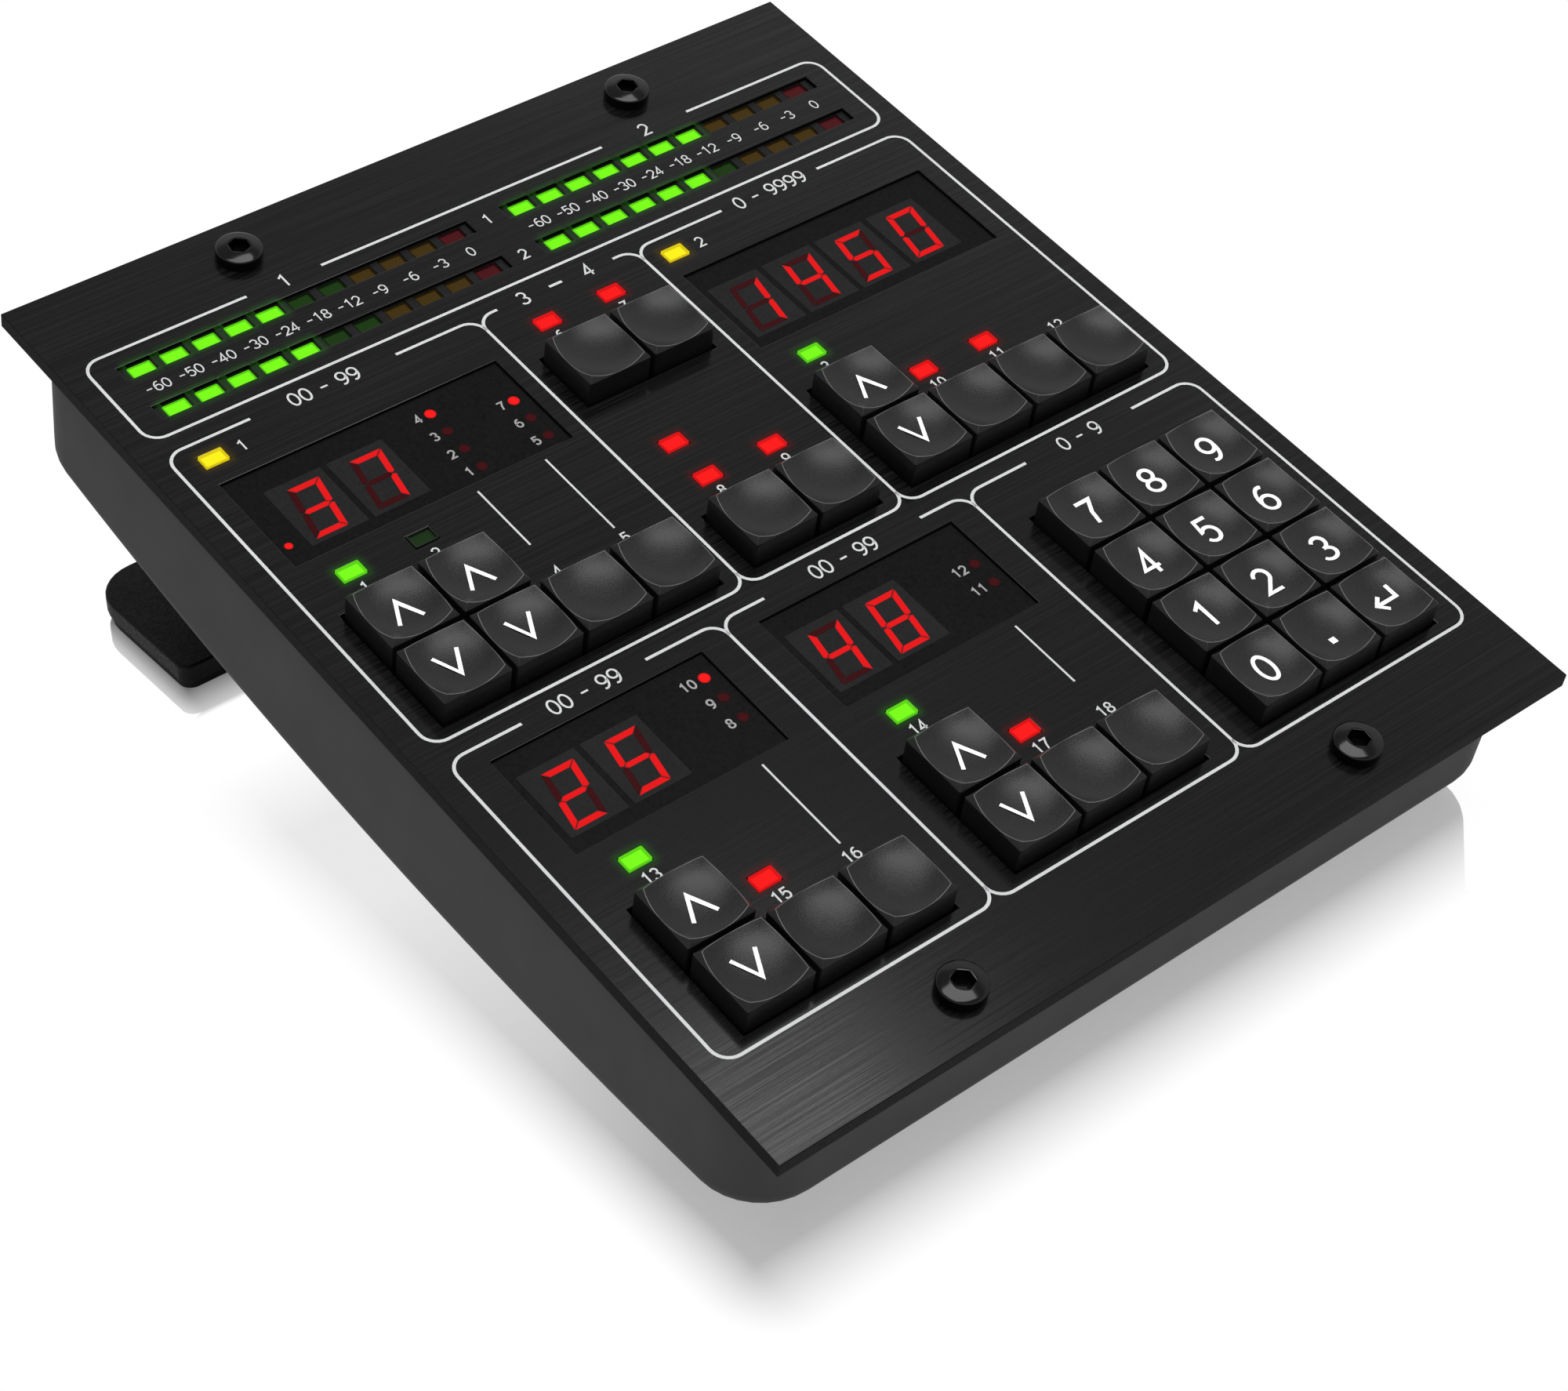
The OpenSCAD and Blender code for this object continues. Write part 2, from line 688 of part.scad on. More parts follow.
// Button head with a hexagon socket, and a plain shank
module panel_screws() {
    flank = panel_head_h / 2;
    dome = panel_head_h - flank;
    dome_r = (pow(panel_head_r, 2) + pow(dome, 2)) / (2 * dome);
    color("#131314")
        on_panel()
            at_each(panel_screws_at) {
                difference() {
                    intersection() {
                        bar(panel_head_r, 0, panel_head_h);
                        translate([0, 0, panel_head_h - dome_r])
                            sphere(dome_r);
                    }
                    translate([0, 0, panel_head_h - hex_depth])
                        cylinder(r = hex_w / 2 / cos(30), h = panel_head_h, $fn = 6);
                }
                bar(panel_screw_r, -panel_screw_l, over);
            }
}

module board_standoffs() {
    color("#b9b9b4")
        on_panel()
            at_each(standoffs_at)
                difference() {
                    bar(standoff_r, board_top_z, -panel_t);
                    bar(board_screw_r + fit_gap, board_top_z - over, board_top_z + board_screw_l);
                }
}

module board_screws() {
    color("#8d8d8a")
        on_panel()
            at_each(standoffs_at)
                translate([0, 0, board_top_z - board_t]) {
                    bar(board_head_r, -board_head_h, 0);
                    bar(board_screw_r, -over, board_screw_l);
                }
}

// Metal shell with its tongue, open to the rear
module data_socket() {
    mouth_l = 6;
    tongue_t = 0.7;
    color("#a9abad")
        on_panel()
            translate([0, tray_half_d - socket_l, socket_z]) {
                difference() {
                    translate([-socket_w / 2, 0, -socket_h / 2])
                        cube([socket_w, socket_l, socket_h]);
                    translate([-socket_w / 2 + socket_wall, socket_l - mouth_l, -socket_h / 2 + socket_wall])
                        cube([socket_w - 2 * socket_wall, mouth_l + over, socket_h - 2 * socket_wall]);
                }
                translate([-socket_w / 4, socket_l - mouth_l - over, -tongue_t / 2])
                    cube([socket_w / 2, mouth_l, tongue_t]);
            }
}

// Foot plate with a waisted neck up to the tray
module rear_stand() {
    color("#161617")
        difference() {
            union() {
                foot_slab(stand_w, stand_d, stand_y, pad_t, neck_base_z, stand_front_r, stand_rear_r);
                difference() {
                    translate([-neck_w / 2, neck_front, neck_base_z - over])
                        cube([neck_w, neck_d, panel_z]);
                    for (side = [-1, 1])
                        translate([side * (neck_waist_w / 2 + waist_r), neck_front - over, neck_base_z + waist_rise])
                            rotate([-90, 0, 0])
                                cylinder(r = waist_r, h = neck_d + 2 * over);
                }
            }
            on_panel() {
                belly(belly_r + seat_gap);
                for (x = [-stand_screw_x, stand_screw_x], y = stand_screw_rows)
                    translate([x, y, 0])
                        bar(stand_screw_r + fit_gap, stand_seat_z - stand_screw_l - over, stand_seat_z);
            }
        }
}

module rear_foot_pad() {
    color("#1c1c1c")
        foot_slab(stand_w - 2 * pad_inset, stand_d - 2 * pad_inset, stand_y, 0, pad_t,
            stand_front_r, stand_rear_r);
}

module front_foot_pad() {
    color("#1c1c1c")
        foot_slab(front_foot_w - 2 * pad_inset, front_foot_d - 2 * pad_inset, front_foot_y, 0, pad_t,
            foot_corner_r, foot_corner_r);
}

module stand_screws() {
    color("#8d8d8a")
        on_panel()
            for (x = [-stand_screw_x, stand_screw_x], y = stand_screw_rows)
                translate([x, y, stand_seat_z]) {
                    bar(stand_head_r, 0, stand_head_h);
                    bar(stand_screw_r, -stand_screw_l, over);
                }
}

// Outline of a cap from the side: upright sides, then a lean to the top
module cap_outline() {
    half = key_w / 2;
    top = key_skirt_h + key_lean_h;
    polygon([[-half, key_bottom_z], [half, key_bottom_z], [half, key_skirt_h], [half - key_lean, top],
        [key_lean - half, top], [-half, key_skirt_h]]);
}

// Hollow dished cap on a stem that enters its switch
module key_cap(place) {
    inside = key_w - 2 * key_wall;
    color("#434446")
        on_panel()
            translate([place[1], place[2], 0]) {
                difference() {
                    intersection() {
                        rotate([90, 0, 0])
                            linear_extrude(height = key_w, center = true)
                                cap_outline();
                        rotate([90, 0, 90])
                            linear_extrude(height = key_w, center = true)
                                cap_outline();
                    }
                    translate([0, 0, key_dish_z + key_dish_r])
                        sphere(key_dish_r);
                    block(inside, inside, key_bottom_z - over, key_roof_z);
                }
                bar(stem_r, switch_top_z - stem_depth, key_roof_z + over);
            }
}

front_panel();
body_shell();
main_board();
switch_bodies();
meter_bars();
meter_green_lights();
meter_amber_lights();
meter_red_lights();
window(modulation_pane);  // modulation_window
window(delay_pane);  // delay_window
window(feedback_pane);  // feedback_window
window(preset_pane);  // preset_window
digit_blocks();
window_lamps();
green_indicators();
red_indicators();
yellow_indicators();
panel_screws();
board_standoffs();
board_screws();
data_socket();
rear_stand();
rear_foot_pad();
front_foot_pad();
stand_screws();
for (place = key_places)
    key_cap(place);
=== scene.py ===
from math import acos, cos, hypot, pi, radians, sin, sqrt

import bpy
from mathutils import Matrix, Vector


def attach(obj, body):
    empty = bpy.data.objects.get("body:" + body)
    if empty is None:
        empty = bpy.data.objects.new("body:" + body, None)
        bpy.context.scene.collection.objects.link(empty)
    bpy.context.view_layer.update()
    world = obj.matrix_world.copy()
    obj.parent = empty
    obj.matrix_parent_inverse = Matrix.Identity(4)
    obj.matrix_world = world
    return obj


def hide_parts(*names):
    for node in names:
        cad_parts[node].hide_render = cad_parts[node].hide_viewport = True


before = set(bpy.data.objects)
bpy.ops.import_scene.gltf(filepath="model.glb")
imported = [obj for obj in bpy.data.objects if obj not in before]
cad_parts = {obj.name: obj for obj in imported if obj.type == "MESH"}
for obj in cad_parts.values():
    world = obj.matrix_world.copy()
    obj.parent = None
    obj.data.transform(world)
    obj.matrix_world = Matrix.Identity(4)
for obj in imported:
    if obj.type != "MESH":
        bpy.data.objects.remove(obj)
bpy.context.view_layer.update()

# Lengths are millimetres in the panel's own frame: x to the right, y up the slope, z = 0 on its face.
MM = 0.001
SLOPE = 10.6
PANEL_Y = -0.2115
PANEL_Z = 38.5025
PANEL = Matrix.Translation((0, PANEL_Y * MM, PANEL_Z * MM)) @ Matrix.Rotation(radians(SLOPE), 4, "X")
TABLE = Matrix.Identity(4)

PANEL_T = 2.3
PLATE_W = 135.0
PLATE_D = 167.0
KEY_PITCH = 11.15
UPPER_X = 38.6
LOWER_X = 42.75
UPPER_KEY_Y = -3.85
PAIR_KEY_Y = 32.0
LOWER_KEY_Y = -61.6
UPPER_WINDOW_Y = 31.75
LOWER_WINDOW_Y = -26.0
UPPER_WINDOW_W = 44.4
LOWER_WINDOW_W = 33.3
WINDOW_D = 17.6
WINDOW_FACE = -0.4
METER_X = 31.6
METER_ROWS = (64.85, 56.2)
METER_STEP = 5.11
METER_W = 57.4
METER_D = 2.8
METER_LIGHTS = 11
LIGHT_W = 3.8
LIGHT_D = 2.6
PRINT_T = 0.02


def spaced(middle, count, step=KEY_PITCH):
    """Evenly spaced places about a middle."""
    return [middle + (i - (count - 1) / 2) * step for i in range(count)]


left_columns = spaced(-UPPER_X, 4)
right_columns = spaced(UPPER_X, 4)
pair_columns = spaced(0, 2)
feedback_columns = spaced(-LOWER_X, 3)
preset_columns = spaced(0, 3)
pad_columns = spaced(LOWER_X, 3)
upper_rows = [UPPER_KEY_Y + i * KEY_PITCH for i in range(3)]
lower_rows = [LOWER_KEY_Y + i * KEY_PITCH for i in range(4)]

# Rows of keys: the nodes from left to right, their columns, and the row's place up the slope
KEY_ROWS = (
    ("speed_up_key depth_up_key", left_columns, upper_rows[1]),
    ("speed_down_key depth_down_key waveform_key modulation_select_key", left_columns, upper_rows[0]),
    ("pan_key dynamics_key", pair_columns, PAIR_KEY_Y),
    ("direct_key reverse_key", pair_columns, upper_rows[0]),
    ("time_up_key", right_columns, upper_rows[1]),
    ("time_down_key time_modulation_key sync_key learn_key", right_columns, upper_rows[0]),
    ("feedback_up_key", feedback_columns, lower_rows[1]),
    ("feedback_down_key invert_key feedback_select_key", feedback_columns, lower_rows[0]),
    ("preset_up_key", preset_columns, lower_rows[1]),
    ("preset_down_key delay_on_key special_key", preset_columns, lower_rows[0]),
    ("key_7 key_8 key_9", pad_columns, lower_rows[3]),
    ("key_4 key_5 key_6", pad_columns, lower_rows[2]),
    ("key_1 key_2 key_3", pad_columns, lower_rows[1]),
    ("key_0 point_key enter_key", pad_columns, lower_rows[0]),
)
KEYS = [(node, x, y) for nodes, across, y in KEY_ROWS for node, x in zip(nodes.split(), across)]


# Finishes


def tone(code):
    """Colour from its usual six-figure code, in the light values that the nodes take."""
    parts = [int(code[i:i + 2], 16) / 255 for i in (0, 2, 4)]
    return tuple(c / 12.92 if c < 0.04045 else ((c + 0.055) / 1.055) ** 2.4 for c in parts) + (1,)


class Strand:
    """One output in a finish's nodes; sums with it are written as plain expressions."""

    def __init__(self, finish, socket):
        self.finish = finish
        self.socket = socket

    def __add__(self, other):
        return self.finish.work("ADD", self, other)

    def __radd__(self, other):
        return self.finish.work("ADD", other, self)

    def __sub__(self, other):
        return self.finish.work("SUBTRACT", self, other)

    def __rsub__(self, other):
        return self.finish.work("SUBTRACT", other, self)

    def __mul__(self, other):
        return self.finish.work("MULTIPLY", self, other)

    def __rmul__(self, other):
        return self.finish.work("MULTIPLY", other, self)

    def __pow__(self, other):
        return self.finish.work("POWER", self, other)


class Finish:
    """A material's nodes, or the world's."""

    def __init__(self, name, owner=None):
        self.owner = owner or bpy.data.materials.new(name)
        self.owner.use_nodes = True
        self.tree = self.owner.node_tree
        self.shader = self.tree.nodes.get("Principled BSDF")

    def feed(self, socket, value):
        if isinstance(value, Strand):
            self.tree.links.new(value.socket, socket)
        else:
            socket.default_value = value

    def add(self, kind, settings=None, sockets=None, out=0):
        """Adds a node: its settings first, then the values or links of its sockets."""
        node = self.tree.nodes.new(kind)
        for name, value in (settings or {}).items():
            if name == "stops":
                first, *between, last = value
                node.color_ramp.elements[0].position, node.color_ramp.elements[0].color = first
                node.color_ramp.elements[1].position, node.color_ramp.elements[1].color = last
                for place, colour in between:
                    node.color_ramp.elements.new(place).color = colour
            else:
                setattr(node, name, value)
        for name, value in (sockets or {}).items():
            self.feed(node.inputs[name], value)
        return Strand(self, node.outputs[out])

    def work(self, operation, first, second):
        return self.add("ShaderNodeMath", {"operation": operation}, {0: first, 1: second})

    def vector(self, operation, first, second=(0, 0, 0), out=0):
        return self.add("ShaderNodeVectorMath", {"operation": operation}, {0: first, 1: second}, out)

    def rays(self, *kinds):
        """1 for rays of these kinds, 0 for others."""
        return self.ramp(sum(self.add("ShaderNodeLightPath", out=kind) for kind in kinds), 0, 1)

    def noise(self, stretch, detail=3.0, rough=0.55):
        """Noise over the piece: cells to the metre along each axis."""
        place = self.add("ShaderNodeTexCoord", out="Object")
        place = self.add("ShaderNodeMapping", sockets={"Vector": place, "Scale": stretch})
        return self.add("ShaderNodeTexNoise", {},
                        {"Vector": place, "Scale": 1.0, "Detail": detail, "Roughness": rough})

    def ramp(self, mask, low, high):
        """Carries a mask from low to high onto 0 to 1, and holds it there."""
        return self.add("ShaderNodeMapRange", {"clamp": True},
                        {"Value": mask, "From Min": low, "From Max": high})

    def mix(self, mask, low, high):
        return self.add("ShaderNodeMix", {"data_type": "RGBA"}, {0: mask, 6: low, 7: high}, 2)

    def bump(self, height, strength, depth):
        return self.add("ShaderNodeBump", {},
                        {"Height": height, "Strength": strength, "Distance": depth * MM})

    def attribute(self, name):
        return self.add("ShaderNodeAttribute", {"attribute_name": name}, out="Fac")

    def set(self, **values):
        """Feeds the main shader: a socket's name in lower case, joined with underscores."""
        names = {socket.name.lower().replace(" ", "_"): socket for socket in self.shader.inputs}
        for name, value in values.items():
            self.feed(names[name], value)
        return self


def moulded(name, dark, light, grain, rough, bump_depth, specular=0.35, highlight_tone=None):
    """Moulded plastic or rubber: fine grain of a given size over faint patches; a painted highlight makes
    marked edges lighter.
    """
    finish = Finish(name)
    fine = finish.noise((1 / (grain * MM),) * 3, 2.0)
    patch = finish.noise((90, 90, 90), 3.0)
    mask = finish.ramp(0.65 * fine + 0.35 * patch, 0.35, 0.65)
    colour = finish.mix(mask, tone(dark), tone(light))
    # Marked edges take a lighter tone as a painted highlight.
    if highlight_tone:
        colour = finish.mix(finish.attribute("spread"), colour, tone(highlight_tone))
    return finish.set(
        base_color=colour,
        roughness=rough[0] + (rough[1] - rough[0]) * finish.ramp(fine, 0.3, 0.7),
        normal=finish.bump(fine, 0.5, bump_depth),
        specular_ior_level=specular,
    )


def brushed_metal(name, dark, light, metal, rough, specular, depth=0.05):
    """Brushed metal with its lines along x."""
    finish = Finish(name)
    broad = finish.noise((22, 2300, 0), 2.0)
    fine = finish.noise((45, 7000, 0), 2.0, 0.7)
    short = finish.noise((900, 6000, 0), 1.0)
    lines = finish.ramp(0.45 * broad + 0.45 * fine + 0.1 * short, 0.42, 0.58)
    return finish.set(
        base_color=finish.mix(lines, tone(dark), tone(light)),
        roughness=rough[0] + (rough[1] - rough[0]) * lines,
        metallic=metal,
        normal=finish.bump(0.45 * broad + 0.55 * fine, 0.35, depth),
        specular_ior_level=specular,
    )


def lens_tones(finish, edge, core):
    """Colour of a lens from its edge to its core, and the faint clouds in its plastic."""
    clouds = finish.noise((1500, 1500, 1500), 2.0)
    mask = finish.ramp(finish.attribute("spread") + 0.25 * clouds, 0.1, 0.95)
    return finish.mix(mask, tone(edge), tone(core)), clouds


def glowing(name, edge, core):
    """A lit lens, brighter in its middle."""
    finish = Finish(name)
    colour, clouds = lens_tones(finish, edge, core)
    return finish.set(
        base_color=tone("0c0808"),
        emission_color=colour,
        emission_strength=1.0,
        roughness=0.3 + 0.1 * clouds,
        specular_ior_level=0.0,
    )


def unlit(name, edge, core):
    """The same lens without its light."""
    finish = Finish(name)
    colour, clouds = lens_tones(finish, edge, core)
    return finish.set(
        base_color=colour,
        roughness=0.2 + 0.15 * clouds,
        specular_ior_level=0.03,
    )


def spilling(name, colour):
    """Light of a lit lens on the plate beside it, fading outwards."""
    finish = Finish(name)
    lines = finish.noise((90, 6500, 0), 2.0, 0.7)
    spread = finish.attribute("spread")
    return finish.set(
        base_color=tone("0a0a0b"),
        emission_color=finish.mix(lines, tone(colour), tone("202020")),
        emission_strength=1.0,
        alpha=0.16 * spread * spread,
        roughness=0.6,
        specular_ior_level=0.0,
    )


panel_black = brushed_metal("panel_black", "000000", "19191a", 0.0, (0.22, 0.1), 0.19, 0.006)
plate_edge = moulded("plate_edge", "060606", "0d0d0d", 0.2, (0.5, 0.7), 0.008, 0.04)
tray_grey = moulded("tray_grey", "363636", "434343", 0.22, (0.6, 0.8), 0.012, 0.15)
stand_black = moulded("stand_black", "050505", "161616", 0.35, (0.4, 0.7), 0.12, 0.1)
pad_rubber = moulded("pad_rubber", "262626", "323232", 0.15, (0.75, 0.95), 0.015, 0.1)
# The cap's last tone is a painted highlight along its rim.
cap_grey = moulded("cap_grey", "0f0f10", "202022", 0.2, (0.29, 0.39), 0.05, 0.21, "666668")
print_white = moulded("print_white", "c4c5c6", "d8d9da", 0.1, (0.5, 0.7), 0.004, 0.1)
sign_white = moulded("sign_white", "f2f2f2", "ffffff", 0.1, (0.5, 0.7), 0.004, 0.2)
window_print = moulded("window_print", "8f8f90", "a8a8a8", 0.1, (0.5, 0.7), 0.004, 0.1)
pane_smoke = moulded("pane_smoke", "0d0d0e", "131314", 0.6, (0.26, 0.34), 0.002, 0.04)
cell_grey = moulded("cell_grey", "19191a", "212122", 0.5, (0.4, 0.55), 0.006, 0.05)
bar_black = moulded("bar_black", "0d0d0e", "161617", 0.3, (0.35, 0.5), 0.006, 0.1)
screw_black = moulded("screw_black", "030303", "080808", 0.2, (0.1, 0.15), 0.001, 0.22)
board_green = moulded("board_green", "123a20", "1d4d2e", 0.6, (0.35, 0.55), 0.02, 0.4)
switch_black = moulded("switch_black", "161617", "222224", 0.3, (0.5, 0.7), 0.01, 0.3)
digit_grey = moulded("digit_grey", "1b1b1d", "262628", 0.3, (0.5, 0.7), 0.01, 0.3)
standoff_brass = brushed_metal("standoff_brass", "8c6a34", "c09a55", 1.0, (0.28, 0.42), 0.5)
screw_steel = brushed_metal("screw_steel", "7f8184", "b0b2b5", 1.0, (0.25, 0.4), 0.5)
socket_metal = brushed_metal("socket_metal", "8a8c8f", "b9bbbe", 1.0, (0.25, 0.38), 0.5)
segment_lit = glowing("segment_lit", "cc1216", "e8191b")
segment_unlit = unlit("segment_unlit", "2c0a0c", "380d10")
lamp_lit = glowing("lamp_lit", "d01014", "fe1e1c")
lamp_unlit = unlit("lamp_unlit", "2c0a0c", "3c0f12")
meter_green_lit = glowing("meter_green_lit", "3fae10", "7afd1a")
meter_green_unlit = unlit("meter_green_unlit", "142010", "1b3612")
meter_amber_unlit = unlit("meter_amber_unlit", "2a2010", "3e2f10")
meter_red_unlit = unlit("meter_red_unlit", "2a1014", "461418")
indicator_green_lit = glowing("indicator_green_lit", "4fbe1a", "7afd1c")
indicator_green_unlit = unlit("indicator_green_unlit", "3a3f39", "1c3018")
indicator_red_lit = glowing("indicator_red_lit", "cc1216", "fe1c1c")
indicator_yellow_lit = glowing("indicator_yellow_lit", "d0b418", "fff41c")
spill_green = spilling("spill_green", "48d010")
spill_red = spilling("spill_red", "d01014")
spill_yellow = spilling("spill_yellow", "c0a000")


# Shapes


class Heap:
    """Points and faces of a piece made of several solids."""

    def __init__(self):
        self.points = []
        self.faces = []
        self.spread = []

    def add(self, points, faces, spread=None, at=(0, 0, 0)):
        """Adds a solid at a place, and gives the heap back."""
        start = len(self.points)
        self.points.extend((p[0] + at[0], p[1] + at[1], p[2] + at[2]) for p in points)
        self.faces.extend(tuple(start + i for i in face) for face in faces)
        self.spread.extend(spread or [1.0] * len(points))
        return self


def heap_mesh(name, heap, place, smooth):
    """Mesh of a heap at its place, in metres, with edges sharp above an angle in degrees."""
    mesh = bpy.data.meshes.new(name)
    mesh.from_pydata([[c * MM for c in point] for point in heap.points], [], heap.faces)
    mesh.attributes.new("spread", "FLOAT", "POINT").data.foreach_set("value", heap.spread)
    mesh.transform(place)
    mesh.shade_smooth()
    mesh.set_sharp_from_angle(angle=radians(smooth))
    return mesh


def make(name, heap, finish, body="unit", place=PANEL, stands_for=()):
    """One piece of the scene, placed in its mesh and riding on a body of the model."""
    mesh = heap_mesh(name, heap, place, 30)
    thing = settle(name, mesh, finish, body, stands_for)
    thing.modifiers.new("even_shading", "WEIGHTED_NORMAL").keep_sharp = True
    return thing


def settle(name, mesh, finish, body="unit", stands_for=()):
    """Gives a mesh its finish, its body and the nodes that it stands for."""
    if not mesh.materials:
        mesh.materials.append(finish.owner)
    thing = bpy.data.objects.new(name, mesh)
    bpy.context.scene.collection.objects.link(thing)
    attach(thing, body)
    if stands_for:
        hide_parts(*stands_for)
    return thing


def outline(w, d, r, turn_steps=6, x_steps=1, y_steps=1, front_r=None):
    """Rounded rectangle, counter-clockwise, with its straight sides cut into steps."""
    points = []
    front_r = r if front_r is None else front_r
    corners = (r, r, front_r, front_r)
    for quarter, (side_x, side_y) in enumerate(((1, 1), (-1, 1), (-1, -1), (1, -1))):
        r = corners[quarter]
        middle = (side_x * (w / 2 - r), side_y * (d / 2 - r))
        for step in range(turn_steps + 1):
            angle = (quarter + step / turn_steps) * pi / 2
            points.append((middle[0] + r * cos(angle), middle[1] + r * sin(angle)))
        steps = x_steps if quarter % 2 == 0 else y_steps
        run = (w - 2 * r) if quarter % 2 == 0 else (d - 2 * r)
        ahead = ((-1, 0), (0, -1), (1, 0), (0, 1))[quarter]
        corner = points[-1]
        for step in range(1, steps):
            along = run * step / steps
            points.append((corner[0] + ahead[0] * along, corner[1] + ahead[1] * along))
    return points


def loft(rings, ends=True):
    """Skin over closed rings of equal count, given from the bottom up."""
    count = len(rings[0])
    points = [point for ring in rings for point in ring]
    faces = []
    for row in range(len(rings) - 1):
        for i in range(count):
            j = (i + 1) % count
            faces.append((row * count + i, row * count + j, (row + 1) * count + j, (row + 1) * count + i))
    if ends:
        faces.append(tuple(reversed(range(count))))
        faces.append(tuple(range(len(points) - count, len(points))))
    return points, faces


def slab_rings(w, d, r, low, high, low_r, high_r, steps=4, turn_steps=6, front_r=None):
    """Rings of a plate with rounded corners and rounded lower and upper edges."""
    front_r = r if front_r is None else front_r
    least_r = 0.02
    turns = [step / steps * pi / 2 for step in range(steps + 1)]
    levels = [(low_r * (1 - sin(turn)), low + low_r * (1 - cos(turn))) for turn in turns]
    levels += [(high_r * (1 - cos(turn)), high - high_r * (1 - sin(turn))) for turn in turns]
    rings = []
    for inset, z in levels:
        shape = outline(w - 2 * inset, d - 2 * inset, max(r - inset, least_r), turn_steps,
                        front_r=max(front_r - inset, least_r))
        rings.append([(x, y, z) for x, y in shape])
    return rings


def lens(w, d, low, high, core_z):
    """Small light: a rim of clear plastic round a sunken core; its spread rises from rim to core."""
    rim = 0.1
    levels = ((0.0, low, 0.0), (0.0, high - 0.05, 0.1), (0.04, high, 0.3), (rim, high, 0.35),
              (rim + 0.03, high - 0.04, 0.2), (rim + 0.04, core_z, 0.25), (rim + 0.12, core_z, 0.8),
              (rim + 0.3, core_z, 1.0))
    rings = []
    spread = []
    for inset, z, level in levels:
        shape = outline(w - 2 * inset, d - 2 * inset, max(0.22 - inset, 0.03), 4)
        rings.append([(x, y, z) for x, y in shape])
        spread += [level] * len(shape)
    return *loft(rings), spread


def spill(w, d, reach=1.5):
    """Thin sheet round a light that carries its glow on the plate."""
    rings = []
    spread = []
    for part in (0.0, 0.12, 0.3, 0.6, 1.0):
        grow = part * reach
        shape = outline(w + 2 * grow, d + 2 * grow, 0.22 + grow, 5)
        rings.append([(x, y, 0.012) for x, y in shape])
        spread += [1 - part] * len(shape)
    return *loft(rings[::-1], False), spread[::-1]


def on_panel(x, y):
    return 0.0


def ribbon(path, width, closed=False, base=on_panel):
    """Flat printed line of even width along a path, on a base of given height."""
    count = len(path)
    points = []
    for i, (x, y) in enumerate(path):
        before = path[i - 1] if closed or i > 0 else None
        after = path[(i + 1) % count] if closed or i < count - 1 else None
        steps = [(b[0] - a[0], b[1] - a[1]) for a, b in ((before, (x, y)), ((x, y), after)) if a and b]
        normals = [Vector((-dy, dx)).normalized() for dx, dy in steps]
        normal = sum(normals, Vector((0, 0))).normalized()
        reach = width / 2 / max(normal.dot(normals[0]), 0.35)
        for side in (1, -1):
            px = x + normal.x * reach * side
            py = y + normal.y * reach * side
            points.append((px, py, base(px, py)))
            points.append((px, py, base(px, py) + PRINT_T))
    faces = []
    for i in range(count if closed else count - 1):
        a = 4 * i
        b = 4 * ((i + 1) % count)
        faces.append((a + 1, a + 3, b + 3, b + 1))
        faces.append((a, b, b + 2, a + 2))
        faces.append((a, a + 1, b + 1, b))
        faces.append((a + 2, b + 2, b + 3, a + 3))
    if not closed:
        end = 4 * (count - 1)
        faces.append((0, 2, 3, 1))
        faces.append((end, end + 1, end + 3, end + 2))
    return points, faces


def arc(x, y, r_x, r_y, start, end, steps=14):
    """Part of an oval, from one angle in degrees to another."""
    turn = [radians(start + (end - start) * i / steps) for i in range(steps + 1)]
    return [(x + r_x * cos(a), y + r_y * sin(a)) for a in turn]


# Middle lines of plain figures, one unit high about their middle; an oval ends where it starts
FIGURES = {
    "0": [arc(0, 0, 0.29, 0.5, 90, 450, 28)],
    "1": [[(-0.2, 0.3), (0.06, 0.5), (0.06, -0.5)]],
    "2": [arc(0, 0.2, 0.28, 0.3, 165, -30) + [(-0.29, -0.5), (0.3, -0.5)]],
    "3": [arc(-0.02, 0.245, 0.26, 0.255, 155, -90), arc(-0.02, -0.245, 0.3, 0.255, 90, -155)],
    "4": [[(0.13, -0.5), (0.13, 0.5), (-0.31, -0.22), (0.32, -0.22)]],
    "5": [[(0.27, 0.5), (-0.2, 0.5), (-0.25, 0.02)] + arc(0, -0.175, 0.29, 0.325, 142, -150)],
    "6": [arc(0, -0.19, 0.285, 0.31, 90, 450, 24), arc(0.06, -0.1, 0.345, 0.6, 180, 70)],
    "7": [[(-0.29, 0.5), (0.29, 0.5), (0.05, 0.02), (-0.06, -0.5)]],
    "8": [arc(0, 0.26, 0.24, 0.24, 90, 450, 24), arc(0, -0.24, 0.29, 0.26, 90, 450, 24)],
    "9": [arc(0, 0.19, 0.285, 0.31, 90, 450, 24), arc(-0.06, 0.1, 0.345, 0.6, 0, -110)],
    "-": [[(-0.24, -0.02), (0.24, -0.02)]],
}
ADVANCE = {"-": 0.62, " ": 0.3}


def figures(heap, words, height, weight, x, y, align=0.5, base=on_panel):
    """Prints figures of a height and line width with their middle at y; align 0 starts them at x."""
    unit = height - weight
    widths = [unit * ADVANCE.get(sign, 0.6) + weight * 1.45 for sign in words]
    along = x - align * sum(widths)
    for sign, width in zip(words, widths):
        for line in FIGURES.get(sign, ()):
            path = [(along + width / 2 + px * unit, y + py * unit) for px, py in line]
            closed = hypot(path[0][0] - path[-1][0], path[0][1] - path[-1][1]) < 0.001
            heap.add(*ribbon(path[:-1] if closed else path, weight, closed, base))
        along += width


# Key caps

